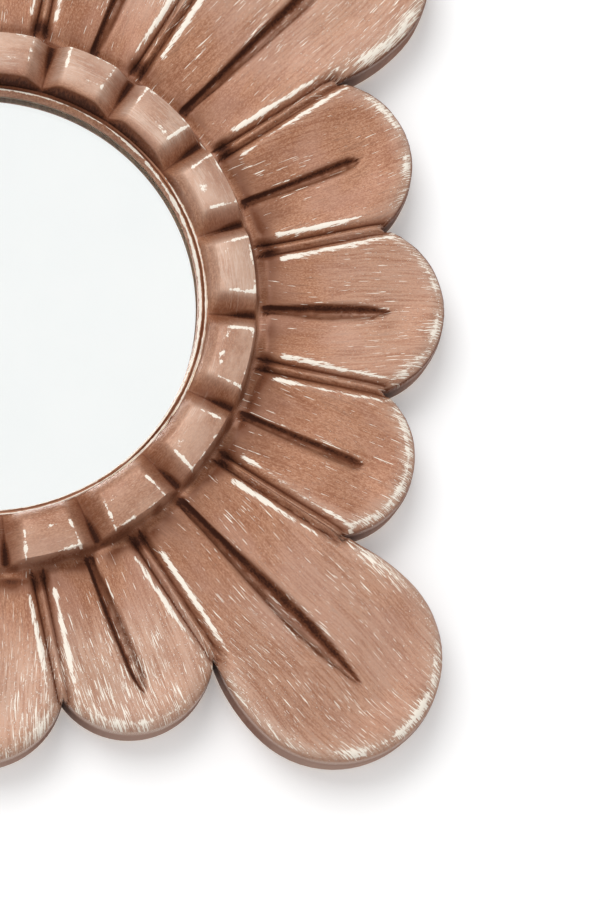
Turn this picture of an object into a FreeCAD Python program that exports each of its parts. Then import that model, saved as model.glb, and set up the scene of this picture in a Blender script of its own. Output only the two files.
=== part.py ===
"""A small carved wooden wall mirror: sixteen petals round a beaded ring and a round glass.

Millimetres, +Z up. The flat back lies on the wall plane at Y = 0, with the origin at its middle,
and the mirror faces along -Y. Heights are measured from the back towards the viewer.
"""

import math
import os

import FreeCAD
import Part
import Sketcher

CORNER_COUNT = 4
SIDE_PETAL_COUNT = 3
BEAD_COUNT = 18
TACK_COUNT = 6
FULL_TURN = 360.0
QUARTER_TURN = FULL_TURN / CORNER_COUNT
# Part of a turn that is wide enough for a turned cutter to pass right across a petal.
CUTTER_TURN = 60.0
# A corner petal takes more of the turn than the three petals between two corners, which share the rest.
CORNER_PITCH = 23.8
PETAL_PITCH = (QUARTER_TURN - CORNER_PITCH) / SIDE_PETAL_COUNT
# A bead's middle lies this far above the horizontal.
FIRST_BEAD_ANGLE = 5.0
# Where a bead is highest across its width, and how far its two shoulders stand up its height.
BEAD_PEAK_SHARE = 0.68
BEAD_INNER_SHARE = 0.25
BEAD_OUTER_SHARE = 0.6

SIZES = {
    # Outline of the petals
    "petal_reach": 108.0,
    "petal_tip_bulge": 2.6,
    "petal_shoulder_radius": 4.0,
    "corner_reach": 140.6,
    "corner_tip_bulge": 1.5,
    "corner_shoulder_radius": 19.0,
    "petal_gap": 2.0,
    # Carving of the petals
    "petal_height": 13.4,
    "heel_depth": 2.6,
    "web_drop": 4.4,
    "rim_bevel": 1.3,
    "dish_depth": 1.1,
    "dish_length": 37.0,
    "dish_width": 21.0,
    "corner_dish_length": 66.0,
    "corner_dish_width": 31.0,
    "vein_depth": 2.4,
    "vein_length": 29.0,
    "vein_width": 3.6,
    "corner_vein_length": 57.0,
    "rib_width": 0.9,
    "rib_rise": 1.3,
    # Ring round the glass
    "sight_radius": 50.0,
    "lip_width": 2.2,
    "lip_thickness": 3.0,
    "bead_width": 11.2,
    "bead_rise": 6.4,
    "notch_width": 6.2,
    "notch_floor": 1.6,
    "ledge_width": 2.4,
    "moat_width": 1.6,
    # Glass, card and board in the back
    "glass_thickness": 3.0,
    "glass_lap": 5.0,
    "card_thickness": 1.2,
    "board_thickness": 2.5,
    "board_lap": 5.6,
    "board_recess": 0.9,
    "fit_clearance": 0.4,
    # Cut tacks that hold the board
    "tack_shank": 1.3,
    "tack_length": 8.0,
    "tack_head_radius": 1.7,
    "tack_head_height": 0.5,
    # Hanger in its recess
    "recess_depth": 3.8,
    "recess_corner": 3.0,
    "recess_margin": 1.6,
    "recess_wall": 3.2,
    "strap_width": 7.6,
    "strap_sheet": 0.7,
    "strap_length": 17.0,
    "curl_lift": 0.3,
    "ring_wire_radius": 0.8,
    "ring_width": 12.6,
    "ring_drop": 9.8,
    "ring_leg": 5.0,
    "screw_radius": 1.1,
    "screw_length": 5.0,
    "screw_point": 1.4,
    "screw_head_radius": 2.5,
    "screw_head_height": 1.5,
    "screw_head_bevel": 0.5,
    "turning_clearance": 0.05,
    # How far one carved form runs into the next, and cutters run past a face
    "bite": 0.5,
    "overrun": 2.0,
}

doc = FreeCAD.newDocument("petal_mirror")
sheet = doc.addObject("Spreadsheet::Sheet", "sizes")
for row, (alias, number) in enumerate(SIZES.items(), start=1):
    sheet.set(f"A{row}", alias)
    sheet.set(f"B{row}", str(number))
    sheet.setAlias(f"B{row}", alias)
doc.recompute()


class Dim:
    """A length as a number, to place geometry, and as sheet text, to bind it."""

    def __init__(self, value, text):
        self.value = value
        self.text = text

    @staticmethod
    def of(other):
        return other if isinstance(other, Dim) else Dim(float(other), repr(float(other)))

    def __add__(self, other):
        other = Dim.of(other)
        return Dim(self.value + other.value, f"({self.text} + {other.text})")

    def __sub__(self, other):
        other = Dim.of(other)
        return Dim(self.value - other.value, f"({self.text} - {other.text})")

    def __mul__(self, other):
        other = Dim.of(other)
        return Dim(self.value * other.value, f"({self.text} * {other.text})")

    def __truediv__(self, other):
        other = Dim.of(other)
        return Dim(self.value / other.value, f"({self.text} / {other.text})")

    def __neg__(self):
        return Dim(-self.value, f"(-1 * {self.text})")

    def root(self):
        return Dim(math.sqrt(self.value), f"sqrt({self.text})")

    def lean(self, run):
        """The angle in degrees of a slope that rises by this over a run."""
        degrees = math.degrees(math.atan2(self.value, run.value))
        return Dim(degrees, f"atan2({self.text}; {run.text})")


class Cells:
    """The sheet's cells by name."""

    def __getattr__(self, alias):
        return Dim(float(sheet.get(alias)), f"sizes.{alias}")


size = Cells()
ZERO = Dim.of(0)

# Sizes that follow from the driving ones
board_front = size.board_recess + size.board_thickness
glass_back = board_front + size.card_thickness
glass_front = glass_back + size.glass_thickness
ring_height = glass_front + size.lip_thickness
bead_height = ring_height + size.bead_rise
web_height = size.petal_height - size.web_drop
lip_outer = size.sight_radius + size.lip_width
bead_outer = lip_outer + size.bead_width
ring_outer = bead_outer + size.ledge_width
petal_heel = ring_outer + size.moat_width
rabbet_radius = size.sight_radius + size.glass_lap + size.fit_clearance
seat_radius = rabbet_radius + size.board_lap
tack_circle = rabbet_radius + size.board_lap / 2
curl_radius = size.ring_wire_radius + size.turning_clearance + size.strap_sheet
curl_depth = size.recess_depth - size.curl_lift - curl_radius
ring_reach = size.ring_drop + size.ring_wire_radius + size.recess_margin
recess_bottom = petal_heel + size.recess_wall
curl_height = recess_bottom + size.recess_margin + size.strap_length
recess_top = curl_height + ring_reach
screw_height = curl_height - size.strap_length + size.screw_head_radius + size.strap_sheet

# The share of the turn, reach, tip bulge and shoulder radius of each kind of petal
side_petal = (PETAL_PITCH, size.petal_reach, size.petal_tip_bulge, size.petal_shoulder_radius)
corner_petal = (CORNER_PITCH, size.corner_reach, size.corner_tip_bulge, size.corner_shoulder_radius)


def turn_about_depth(degrees):
    """A turn in the wall plane, from +X towards +Z."""
    return FreeCAD.Placement(FreeCAD.Vector(), FreeCAD.Rotation(FreeCAD.Vector(0, -1, 0), degrees))


def new_body(label, degrees=0.0):
    body = doc.addObject("PartDesign::Body", label)
    body.Label = label
    body.AllowCompound = True
    body.Placement = turn_about_depth(degrees)
    return body


def origin_part(body, role):
    return next(item for item in body.Origin.OriginFeatures if item.Role == role)


def new_sketch(body, name, plane, offset=None, lift=None, tilt=None):
    """A sketch on one of a body's own planes, moved along the plane's normal by an offset.

    It may also be moved along its first axis by a lift, and tilted about its second axis.
    """
    sketch = body.newObject("Sketcher::SketchObject", name)
    sketch.AttachmentSupport = [(origin_part(body, plane), "")]
    sketch.MapMode = "FlatFace"
    if offset is not None:
        sketch.setExpression("AttachmentOffset.Base.z", offset.text)
    if lift is not None:
        sketch.setExpression("AttachmentOffset.Base.x", lift.text)
    if tilt is not None:
        turn = FreeCAD.Rotation(FreeCAD.Vector(0, 1, 0), tilt.value)
        sketch.AttachmentOffset = FreeCAD.Placement(FreeCAD.Vector(), turn)
        sketch.setExpression("AttachmentOffset.Rotation.Angle", tilt.text)
    return sketch


def pin_point(sketch, geometry, end, place):
    """Bind one end of a curve to a place."""
    for kind, along in (("DistanceX", place[0]), ("DistanceY", place[1])):
        index = sketch.addConstraint(Sketcher.Constraint(kind, -1, 1, geometry, end, along.value))
        sketch.setExpression(f"Constraints[{index}]", along.text)


def bind_radius(sketch, geometry, radius):
    index = sketch.addConstraint(Sketcher.Constraint("Radius", geometry, radius.value))
    sketch.setExpression(f"Constraints[{index}]", radius.text)


def vector(place):
    return FreeCAD.Vector(place[0].value, place[1].value, 0)


def arc_through(start, end, radius, clockwise):
    """The shorter arc of a radius from one place to another."""
    begin = vector(start)
    finish = vector(end)
    chord = finish - begin
    side = FreeCAD.Vector(-chord.y, chord.x, 0).normalize()
    if clockwise:
        side = side * -1
    reach = math.sqrt(max(radius.value**2 - (chord.Length / 2) ** 2, 0.0))
    middle = begin + chord / 2 + side * reach
    angles = [math.atan2(point.y - middle.y, point.x - middle.x) for point in (begin, finish)]
    if clockwise:
        angles.reverse()
    circle = Part.Circle(middle, FreeCAD.Vector(0, 0, 1), radius.value)
    return Part.ArcOfCircle(circle, angles[0], angles[1])


def draw_outline(sketch, steps, closed=True):
    """Draw a chain of (place, radius, clockwise) steps, each leading on to the next place.

    A step with no radius is a straight line.
    """
    joins = []
    count = len(steps)
    last = count if closed else count - 1
    for number in range(last):
        start, radius, clockwise = steps[number]
        end = steps[(number + 1) % count][0]
        if radius is None:
            geometry = sketch.addGeometry(Part.LineSegment(vector(start), vector(end)))
            ends = (1, 2)
        else:
            geometry = sketch.addGeometry(arc_through(start, end, radius, clockwise))
            bind_radius(sketch, geometry, radius)
            ends = (2, 1) if clockwise else (1, 2)
        pin_point(sketch, geometry, ends[0], start)
        joins.append((geometry, ends))
    for number in range(last):
        geometry, ends = joins[number]
        if closed or number + 1 < last:
            following, next_ends = joins[(number + 1) % last]
            sketch.addConstraint(
                Sketcher.Constraint("Coincident", geometry, ends[1], following, next_ends[0])
            )
        else:
            pin_point(sketch, geometry, ends[1], steps[-1][0])


def draw_circle(sketch, centre, radius):
    circle = Part.Circle(vector(centre), FreeCAD.Vector(0, 0, 1), radius.value)
    geometry = sketch.addGeometry(circle)
    bind_radius(sketch, geometry, radius)
    pin_point(sketch, geometry, 3, centre)


def draw_axis(sketch, start, end):
    """A construction line that a feature can turn about."""
    geometry = sketch.addGeometry(Part.LineSegment(vector(start), vector(end)), True)
    pin_point(sketch, geometry, 1, start)
    pin_point(sketch, geometry, 2, end)


def straight(*places):
    return [(place, None, False) for place in places]


def add_pad(body, name, sketch, length, midplane=False):
    pad = body.newObject("PartDesign::Pad", name)
    pad.Profile = sketch
    pad.Midplane = midplane
    pad.setExpression("Length", length.text)
    return pad


def add_pocket(body, name, sketch, length):
    """Cut from the back towards the viewer."""
    pocket = body.newObject("PartDesign::Pocket", name)
    pocket.Profile = sketch
    pocket.Reversed = True
    pocket.setExpression("Length", length.text)
    return pocket


def add_turned(body, kind, name, sketch, axis, angle=FULL_TURN):
    turned = body.newObject(f"PartDesign::{kind}", name)
    turned.Profile = sketch
    turned.ReferenceAxis = axis
    turned.Angle = angle
    turned.Midplane = angle < FULL_TURN
    return turned


def add_ring(body, name, count, originals=None, extent=FULL_TURN):
    """Repeat features, or the whole body, about the middle of the mirror."""
    doc.recompute()
    pattern = body.newObject("PartDesign::PolarPattern", name)
    if originals is None:
        pattern.TransformMode = "Whole shape"
    else:
        pattern.Originals = originals
    pattern.Axis = (origin_part(body, "Y_Axis"), [""])
    pattern.Angle = extent
    pattern.Occurrences = count
    body.Tip = pattern
    return pattern


def edge_names(shape, wanted):
    """Names of a shape's edges that are the same as some wanted edges."""
    return [
        f"Edge{number}"
        for number, edge in enumerate(shape.Edges, start=1)
        if any(edge.isSame(other) for other in wanted)
    ]


def petal_tip(pitch, reach, bulge):
    """The radius of a petal's tip, which stands out past the lines of the petal's sides by a bulge."""
    lean = math.sin(math.radians(pitch / 2))
    return (reach * lean - size.petal_gap / 2 + bulge) / (1 + lean)


def petal_side(pitch, reach, bulge, shoulder_radius):
    """How far out, along the line between two petals, a petal's straight side runs."""
    half_pitch = math.radians(pitch / 2)
    tip_radius = petal_tip(pitch, reach, bulge)
    centre = reach - tip_radius
    across = centre * math.sin(half_pitch) - size.petal_gap / 2 - shoulder_radius
    spread = tip_radius - shoulder_radius
    return centre * math.cos(half_pitch) + (spread * spread - across * across).root()


def petal_steps(pitch, reach, bulge, shoulder_radius):
    """The outline of a petal that points along +X, from its heel round its tip."""
    half_pitch = math.radians(pitch / 2)
    along = (math.cos(half_pitch), math.sin(half_pitch))
    half_gap = size.petal_gap / 2
    tip_radius = petal_tip(pitch, reach, bulge)
    centre = reach - tip_radius
    stretch = tip_radius / (tip_radius - shoulder_radius)
    side_end = petal_side(pitch, reach, bulge, shoulder_radius)
    shoulder_off = -(half_gap + shoulder_radius)
    shoulder_x = side_end * along[0] - shoulder_off * along[1]
    shoulder_z = side_end * along[1] + shoulder_off * along[0]
    upper = [
        ((petal_heel, (petal_heel * along[1] - half_gap) / along[0]), None, False),
        ((side_end * along[0] + half_gap * along[1], side_end * along[1] - half_gap * along[0]),
         shoulder_radius, True),
        ((centre + (shoulder_x - centre) * stretch, shoulder_z * stretch), tip_radius, True),
    ]
    places = [step[0] for step in upper]
    mirrored = [(place[0], -place[1]) for place in reversed(places)]
    lower = list(zip(mirrored, (shoulder_radius, None, None), (True, False, False)))
    return upper + lower


def front_face(shape):
    """The face of a shape that lies furthest towards the viewer."""
    return min(shape.Faces, key=lambda face: face.CenterOfMass.y)


def cut_leaf(body, name, middle, surface, tilt, length, width, depth):
    """Cut a leaf-shaped hollow, as the edge of a large V-rimmed wheel would, into a sloping top."""
    half_length = length / 2
    wheel_radius = half_length * half_length / (depth * 2) + depth / 2
    opening = depth + size.overrun
    half_opening = width / 2 * (opening / depth)
    leaf = new_sketch(body, f"{name}_section", "YZ_Plane", middle, -surface, tilt)
    draw_outline(leaf, straight(
        (depth, ZERO),
        (-size.overrun, half_opening),
        (-size.overrun, -half_opening),
    ))
    draw_axis(leaf, (depth - wheel_radius, -half_opening), (depth - wheel_radius, half_opening))
    return add_turned(body, "Groove", name, leaf, (leaf, ["Axis0"]), CUTTER_TURN)


def carve_petal(label, degrees, outline_sizes, dish_sizes, vein_length):
    """One petal with a sloping top, a bevelled rim, a shallow leaf-shaped dish and a V-cut vein."""
    reach = outline_sizes[1]
    body = new_body(label, degrees)
    run = reach - petal_heel
    slope = size.heel_depth / run
    tilt = size.heel_depth.lean(run)
    top_at_middle = size.petal_height - slope * reach
    outline = new_sketch(body, f"{label}_outline", "XZ_Plane", top_at_middle, tilt=-tilt)
    draw_outline(outline, petal_steps(*outline_sizes))
    blank = add_pad(body, f"{label}_blank", outline, size.petal_height + size.overrun)
    blank.Reversed = True
    behind = new_sketch(body, f"{label}_behind", "XZ_Plane")
    draw_outline(behind, straight((ZERO, -reach), (reach * 2, -reach), (reach * 2, reach), (ZERO, reach)))
    trim = body.newObject("PartDesign::Pocket", f"{label}_flat_back")
    trim.Profile = behind
    trim.setExpression("Length", (size.petal_height + size.overrun).text)
    doc.recompute()

    rim = edge_names(trim.Shape, front_face(trim.Shape).OuterWire.Edges)
    bevel = body.newObject("PartDesign::Chamfer", f"{label}_rim")
    bevel.Base = (trim, rim)
    bevel.setExpression("Size", size.rim_bevel.text)

    dish_length, dish_width = dish_sizes
    dish_middle = petal_heel + run / 2
    cut_leaf(body, f"{label}_dish", dish_middle, top_at_middle + slope * dish_middle, -tilt,
             dish_length, dish_width, size.dish_depth)
    vein_middle = petal_heel + vein_length / 2
    cut_leaf(body, f"{label}_vein", vein_middle, top_at_middle + slope * vein_middle, -tilt,
             vein_length, size.vein_width, size.vein_depth)
    return body


def carve_petals():
    """Three petals on each side, and a longer one at each corner."""
    sides = carve_petal(
        "side_petals", PETAL_PITCH, side_petal,
        (size.dish_length, size.dish_width), size.vein_length,
    )
    add_ring(sides, "petals_of_a_side", SIDE_PETAL_COUNT, extent=PETAL_PITCH * (SIDE_PETAL_COUNT - 1))
    add_ring(sides, "petals_of_all_sides", CORNER_COUNT)
    corners = carve_petal(
        "corner_petals", QUARTER_TURN / 2, corner_petal,
        (size.corner_dish_length, size.corner_dish_width), size.corner_vein_length,
    )
    add_ring(corners, "petals_of_all_corners", CORNER_COUNT)
    return [sides, corners]


def carve_ribs():
    """The thin rib that stands in the cut between each two petals."""
    body = new_body("ribs", PETAL_PITCH * SIDE_PETAL_COUNT / 2)
    start = ring_outer - size.bite
    side_end = petal_side(*side_petal)
    half_floor = (size.petal_gap + size.bite) / 2
    half_rib = size.rib_width / 2
    rib_top = web_height + size.rib_rise
    section = new_sketch(body, "rib_section", "YZ_Plane", start)
    draw_outline(section, straight(
        (ZERO, -half_floor),
        (-web_height, -half_floor),
        (-rib_top, -half_rib),
        (-rib_top, half_rib),
        (-web_height, half_floor),
        (ZERO, half_floor),
    ))
    add_pad(body, "rib", section, side_end - start)
    add_ring(body, "ribs_of_a_side", SIDE_PETAL_COUNT + 1, extent=PETAL_PITCH * SIDE_PETAL_COUNT)
    add_ring(body, "ribs_of_all_sides", CORNER_COUNT)
    return body


def draw_shank(sketch, clearance):
    """The square section of a tack's shank, or of a hole round it."""
    half = size.tack_shank / 2 + clearance
    draw_outline(sketch, straight(
        (tack_circle - half, -half),
        (tack_circle + half, -half),
        (tack_circle + half, half),
        (tack_circle - half, half),
    ))


def turn_hub():
    """The turned middle: sight lip, bead bed, ledge and moat in front, rabbet and board seat behind."""
    body = new_body("hub")
    hub_radius = petal_heel + size.overrun
    section = new_sketch(body, "hub_section", "XY_Plane")
    draw_outline(section, straight(
        (size.sight_radius, -glass_front),
        (size.sight_radius, -ring_height),
        (ring_outer, -ring_height),
        (ring_outer, -web_height),
        (hub_radius, -web_height),
        (hub_radius, ZERO),
        (seat_radius, ZERO),
        (seat_radius, -board_front),
        (rabbet_radius, -board_front),
        (rabbet_radius, -glass_front),
    ))
    add_turned(body, "Revolution", "turned_hub", section, (origin_part(body, "Y_Axis"), [""]))
    hole = new_sketch(body, "tack_slot", "XZ_Plane")
    draw_shank(hole, size.turning_clearance)
    depth = size.board_recess + size.tack_length + size.fit_clearance
    slot = add_pocket(body, "tack_hole", hole, depth)
    add_ring(body, "tack_holes", TACK_COUNT, [slot])
    return body


def carve_beads():
    """The ring of pillow beads: short lengths of a rounded moulding, with V-cut notches between."""
    half_pitch = FULL_TURN / BEAD_COUNT / 2
    lengths = new_body("bead_lengths", FIRST_BEAD_ANGLE)
    foot = ring_height - size.bite
    peak = lip_outer + size.bead_width * BEAD_PEAK_SHARE
    inner_height = ring_height + size.bead_rise * BEAD_INNER_SHARE
    outer_height = ring_height + size.bead_rise * BEAD_OUTER_SHARE
    inner_rise = bead_height - inner_height
    outer_fall = bead_height - outer_height
    inner_run = peak - lip_outer
    outer_run = bead_outer - peak
    inner_radius = inner_run * inner_run / (inner_rise * 2) + inner_rise / 2
    outer_radius = outer_run * outer_run / (outer_fall * 2) + outer_fall / 2
    section = new_sketch(lengths, "bead_section", "XY_Plane")
    draw_outline(section, [
        ((lip_outer, -foot), None, False),
        ((lip_outer, -inner_height), inner_radius, False),
        ((peak, -bead_height), outer_radius, False),
        ((bead_outer, -outer_height), None, False),
        ((bead_outer, -foot), None, False),
    ])
    bead_length = lip_outer * (2 * math.tan(math.radians(half_pitch)))
    add_pad(lengths, "bead_moulding", section, bead_length, midplane=True)
    add_ring(lengths, "bead_ring", BEAD_COUNT)

    notches = new_body("bead_notches", FIRST_BEAD_ANGLE + half_pitch)
    half_top = size.notch_width / 2
    half_floor = size.notch_floor / 2
    notch = new_sketch(notches, "notch_section", "YZ_Plane", lip_outer - size.overrun)
    draw_outline(notch, straight(
        (-foot, -half_floor),
        (-bead_height, -half_top),
        (-(bead_height + size.overrun), -half_top),
        (-(bead_height + size.overrun), half_top),
        (-bead_height, half_top),
        (-foot, half_floor),
    ))
    add_pad(notches, "notch", notch, size.bead_width + size.overrun * 2)
    add_ring(notches, "notch_ring", BEAD_COUNT)

    beads = doc.addObject("Part::Cut", "beads")
    beads.Base = lengths
    beads.Tool = notches
    return beads


def cut_recess():
    """The routed recess for the hanger, with the screw's pilot hole in its floor."""
    body = new_body("hanger_recess")
    half = size.ring_width / 2 + size.recess_margin
    corner = size.recess_corner
    outline = new_sketch(body, "recess_outline", "XZ_Plane", -size.overrun)
    draw_outline(outline, [
        ((-half + corner, recess_top), None, False),
        ((half - corner, recess_top), corner, True),
        ((half, recess_top - corner), None, False),
        ((half, recess_bottom + corner), corner, True),
        ((half - corner, recess_bottom), None, False),
        ((-half + corner, recess_bottom), corner, True),
        ((-half, recess_bottom + corner), None, False),
        ((-half, recess_top - corner), corner, True),
    ])
    add_pad(body, "recess_cutter", outline, size.recess_depth + size.overrun)
    hole = new_sketch(body, "screw_pilot", "XZ_Plane")
    draw_circle(hole, (ZERO, screw_height), size.screw_radius + size.turning_clearance)
    depth = size.recess_depth - size.strap_sheet + size.screw_length + size.fit_clearance
    add_pad(body, "screw_pilot_cutter", hole, depth)
    return body


def make_frame():
    """Petals, ribs, hub and beads in one piece of wood, with the hanger's recess cut in its back."""
    front = doc.addObject("Part::MultiFuse", "carved_front")
    front.Shapes = [turn_hub(), *carve_petals(), carve_ribs(), carve_beads()]
    frame = doc.addObject("Part::Cut", "carved_frame")
    frame.Base = front
    frame.Tool = cut_recess()
    frame.Label = "carved_frame"
    return frame


def make_disc(label, back, thickness, radius):
    """A plain disc that lies at a height above the back."""
    body = new_body(label)
    outline = new_sketch(body, f"{label}_outline", "XZ_Plane", back)
    draw_circle(outline, (ZERO, ZERO), radius)
    return body, add_pad(body, f"{label}_disc", outline, thickness)


def make_glass():
    body, _ = make_disc("mirror_glass", glass_back, size.glass_thickness,
                        rabbet_radius - size.fit_clearance)
    return body


def make_card():
    body, _ = make_disc("packing_card", board_front, size.card_thickness,
                        rabbet_radius - size.fit_clearance)
    return body


def make_board():
    body, _ = make_disc("backing_board", size.board_recess, size.board_thickness,
                        seat_radius - size.fit_clearance)
    hole = new_sketch(body, "board_slot", "XZ_Plane")
    draw_shank(hole, size.turning_clearance)
    slot = add_pocket(body, "board_hole", hole, board_front + size.overrun)
    add_ring(body, "board_holes", TACK_COUNT, [slot])
    return body


def make_tacks():
    """Cut tacks, driven through the board into the wood behind the beads."""
    body = new_body("board_tacks")
    shank = new_sketch(body, "shank_section", "XZ_Plane", size.board_recess)
    draw_shank(shank, ZERO)
    add_pad(body, "shank", shank, size.tack_length)
    head = new_sketch(body, "head_outline", "XZ_Plane", size.board_recess - size.tack_head_height)
    draw_circle(head, (tack_circle, ZERO), size.tack_head_radius)
    add_pad(body, "head", head, size.tack_head_height)
    add_ring(body, "tack_ring", TACK_COUNT)
    return body


def make_strap():
    """A strip of steel, flat under its screw and curled round the ring's bar."""
    body = new_body("hanger_strap")
    floor = -size.recess_depth
    rear = floor + size.strap_sheet
    foot = curl_height - size.strap_length
    flat = new_sketch(body, "strap_flat", "YZ_Plane")
    draw_outline(flat, straight((floor, foot), (rear, foot), (rear, curl_height), (floor, curl_height)))
    add_pad(body, "strap_plate", flat, size.strap_width, midplane=True)
    curl = new_sketch(body, "strap_curl", "YZ_Plane")
    draw_circle(curl, (-curl_depth, curl_height), curl_radius)
    add_pad(body, "curl", curl, size.strap_width, midplane=True)
    eye = new_sketch(body, "strap_eye", "YZ_Plane")
    draw_circle(eye, (-curl_depth, curl_height), curl_radius - size.strap_sheet)
    bore = body.newObject("PartDesign::Pocket", "curl_bore")
    bore.Profile = eye
    bore.Type = "ThroughAll"
    bore.Midplane = True
    hole = new_sketch(body, "strap_hole", "XZ_Plane")
    draw_circle(hole, (ZERO, screw_height), size.screw_radius + size.turning_clearance)
    add_pocket(body, "screw_hole", hole, size.recess_depth + size.overrun)
    return body


def make_ring():
    """A ring of round wire, bent to a point, whose straight bar turns in the strap's curl."""
    body = new_body("hanger_ring")
    half = size.ring_width / 2 - size.ring_wire_radius
    elbow = curl_height - size.ring_leg
    route = new_sketch(body, "ring_route", "XZ_Plane", curl_depth)
    draw_outline(route, straight(
        (ZERO, curl_height),
        (half, curl_height),
        (half, elbow),
        (ZERO, curl_height - size.ring_drop),
        (-half, elbow),
        (-half, curl_height),
    ))
    wire = new_sketch(body, "ring_wire", "YZ_Plane")
    draw_circle(wire, (-curl_depth, curl_height), size.ring_wire_radius)
    pipe = body.newObject("PartDesign::AdditivePipe", "bent_wire")
    pipe.Profile = wire
    pipe.Spine = (route, [f"Edge{number}" for number in range(1, len(route.Geometry) + 1)])
    pipe.Transition = "Right corner"
    return body


def make_screw():
    """A pan-head wood screw."""
    body = new_body("hanger_screw")
    seat = -(size.recess_depth - size.strap_sheet)
    top = seat + size.screw_head_height
    tip = seat - size.screw_length
    rim = screw_height + size.screw_head_radius
    side = screw_height + size.screw_radius
    section = new_sketch(body, "screw_section", "YZ_Plane")
    draw_outline(section, straight(
        (tip, screw_height),
        (tip + size.screw_point, side),
        (seat, side),
        (seat, rim),
        (top - size.screw_head_bevel, rim),
        (top, rim - size.screw_head_bevel),
        (top, screw_height),
    ))
    draw_axis(section, (tip, screw_height), (top, screw_height))
    add_turned(body, "Revolution", "screw", section, (section, ["Axis0"]))
    return body


MAKERS = (make_frame, make_glass, make_card, make_board, make_tacks, make_strap, make_ring, make_screw)
nodes = [maker() for maker in MAKERS]
doc.recompute()

failed = [item.Label for item in doc.Objects if {"Invalid", "Error"} & set(item.State)]
failed += [node.Label for node in nodes if node.Shape.isNull() or not node.Shape.isValid()]
if failed:
    raise SystemExit(f"These did not build: {failed}")

os.makedirs("parts", exist_ok=True)
for node in nodes:
    node.Shape.exportStep(f"parts/{node.Label}.step")
    print(node.Label, len(node.Shape.Solids), round(node.Shape.Volume))
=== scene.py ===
import math
from collections import namedtuple

import bmesh
import bpy
import numpy as np
from mathutils import Matrix, Vector, noise
from mathutils.geometry import tessellate_polygon


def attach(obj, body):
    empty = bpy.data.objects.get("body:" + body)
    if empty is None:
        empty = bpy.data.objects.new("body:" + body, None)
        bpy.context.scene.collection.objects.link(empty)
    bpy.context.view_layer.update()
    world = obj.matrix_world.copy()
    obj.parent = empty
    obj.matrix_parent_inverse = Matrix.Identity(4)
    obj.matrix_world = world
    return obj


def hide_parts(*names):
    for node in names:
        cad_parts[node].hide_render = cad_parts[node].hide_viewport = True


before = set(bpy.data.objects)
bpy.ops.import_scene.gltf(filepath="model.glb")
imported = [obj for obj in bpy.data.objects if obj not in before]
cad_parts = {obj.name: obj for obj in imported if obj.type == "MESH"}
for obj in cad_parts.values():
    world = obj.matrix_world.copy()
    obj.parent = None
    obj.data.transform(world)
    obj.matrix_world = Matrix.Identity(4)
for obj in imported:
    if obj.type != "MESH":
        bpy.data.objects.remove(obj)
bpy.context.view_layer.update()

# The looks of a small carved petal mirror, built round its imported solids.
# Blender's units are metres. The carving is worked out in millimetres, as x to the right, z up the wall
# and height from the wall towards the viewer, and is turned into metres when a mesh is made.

MM = 0.001
FULL_TURN = 360.0
HALF_TURN = FULL_TURN / 2
QUARTER = FULL_TURN / 4

# A mark of chisel, wear, dirt, painted shade or painted highlight: its strength, place and width, each one
# number or two that a share mixes
Mark = namedtuple("Mark", "strength place width")

# Layout of the petals in degrees, from the petal that points to the right
CORNER_PITCH = 23.8
SIDE_PETALS = 3
CORNER_PLACE = 2
PETALS = 16
PETAL_PITCH = (QUARTER - CORNER_PITCH) / SIDE_PETALS
# How far the carver set each cut between two petals off its true place, over half the ring
CUT_LEANS = (0.57, 0.6, 0.8, 0.13, 0.77, -0.2, -0.4, -1.27)
# How pale each petal is rubbed, over half the ring
RUBBED_SHARES = (0.5, 0.05, 0.6, 0.75, 0.85, 0.85, 0.45, 0.1)

# The vein of each petal over half the ring: its lean in degrees, its ends and width, and shares of its length
Vein = namedtuple("Vein", "lean start end width widest_share tip_share")
VEINS = (
    Vein(-0.9, 65.0, 95.8, 3.9, 0.55, 0.30),
    Vein(0.0, 65.2, 95.0, 3.2, 0.85, 0.10),
    Vein(0.1, 65.2, 126.0, 4.6, 0.66, 0.36),
    Vein(-0.5, 65.2, 97.0, 3.6, 0.60, 0.30),
    Vein(0.4, 65.8, 99.0, 3.2, 0.55, 0.30),
    Vein(0.3, 65.6, 100.0, 3.6, 0.60, 0.22),
    Vein(-0.7, 65.6, 126.4, 5.6, 0.64, 0.38),
    Vein(-1.6, 65.0, 96.6, 3.2, 0.85, 0.10),
)
VEIN_START_WIDTH = 2.4
VEIN_RISE_SHARE = -0.02
VEIN_START_SHARES = (-0.03, 0.01)
VEIN_LEAST = 1e-4

# Outline of the petals
PETAL_REACH = 107.9
CORNER_REACH = 140.8
CORNER_TIP_RADIUS = 24.5
CORNER_SIDE_RADIUS = 44.0
VALLEY_RADIUS = 95.2
CORNER_VALLEY_RADIUS = 98.9
OUTLINE_SAMPLES = 400
RIM_STEP = 2

# Where the light comes from, as a direction on the wall
LIGHT_SIDE = np.array([-0.42, 0.68])


def smooth(low, high, value):
    share = np.clip((value - low) / (high - low), 0.0, 1.0)
    return share * share * (3.0 - 2.0 * share)


def hump(value, centre, width):
    return np.exp(-(((value - centre) / width) ** 2))


def blend(part, share):
    """A number as it is, or a pair of numbers mixed by a share."""
    if isinstance(part, tuple):
        return part[0] + (part[1] - part[0]) * share
    return part


def mark(kind, value, share=0.0):
    """How strongly a mark shows at a value, with the pairs in it mixed by a share."""
    return blend(kind.strength, share) * hump(value, blend(kind.place, share), blend(kind.width, share))


def patchy(kind, value, blots):
    """A mark whose strength is made uneven by blots."""
    return mark(kind._replace(strength=kind.strength + blots), value)


def strongest(*marks):
    return np.maximum.reduce(marks)


def fading(distance, reach):
    """Full up to no distance, then fading over a reach."""
    return np.exp(-np.clip(distance, 0, None) / reach)


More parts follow.
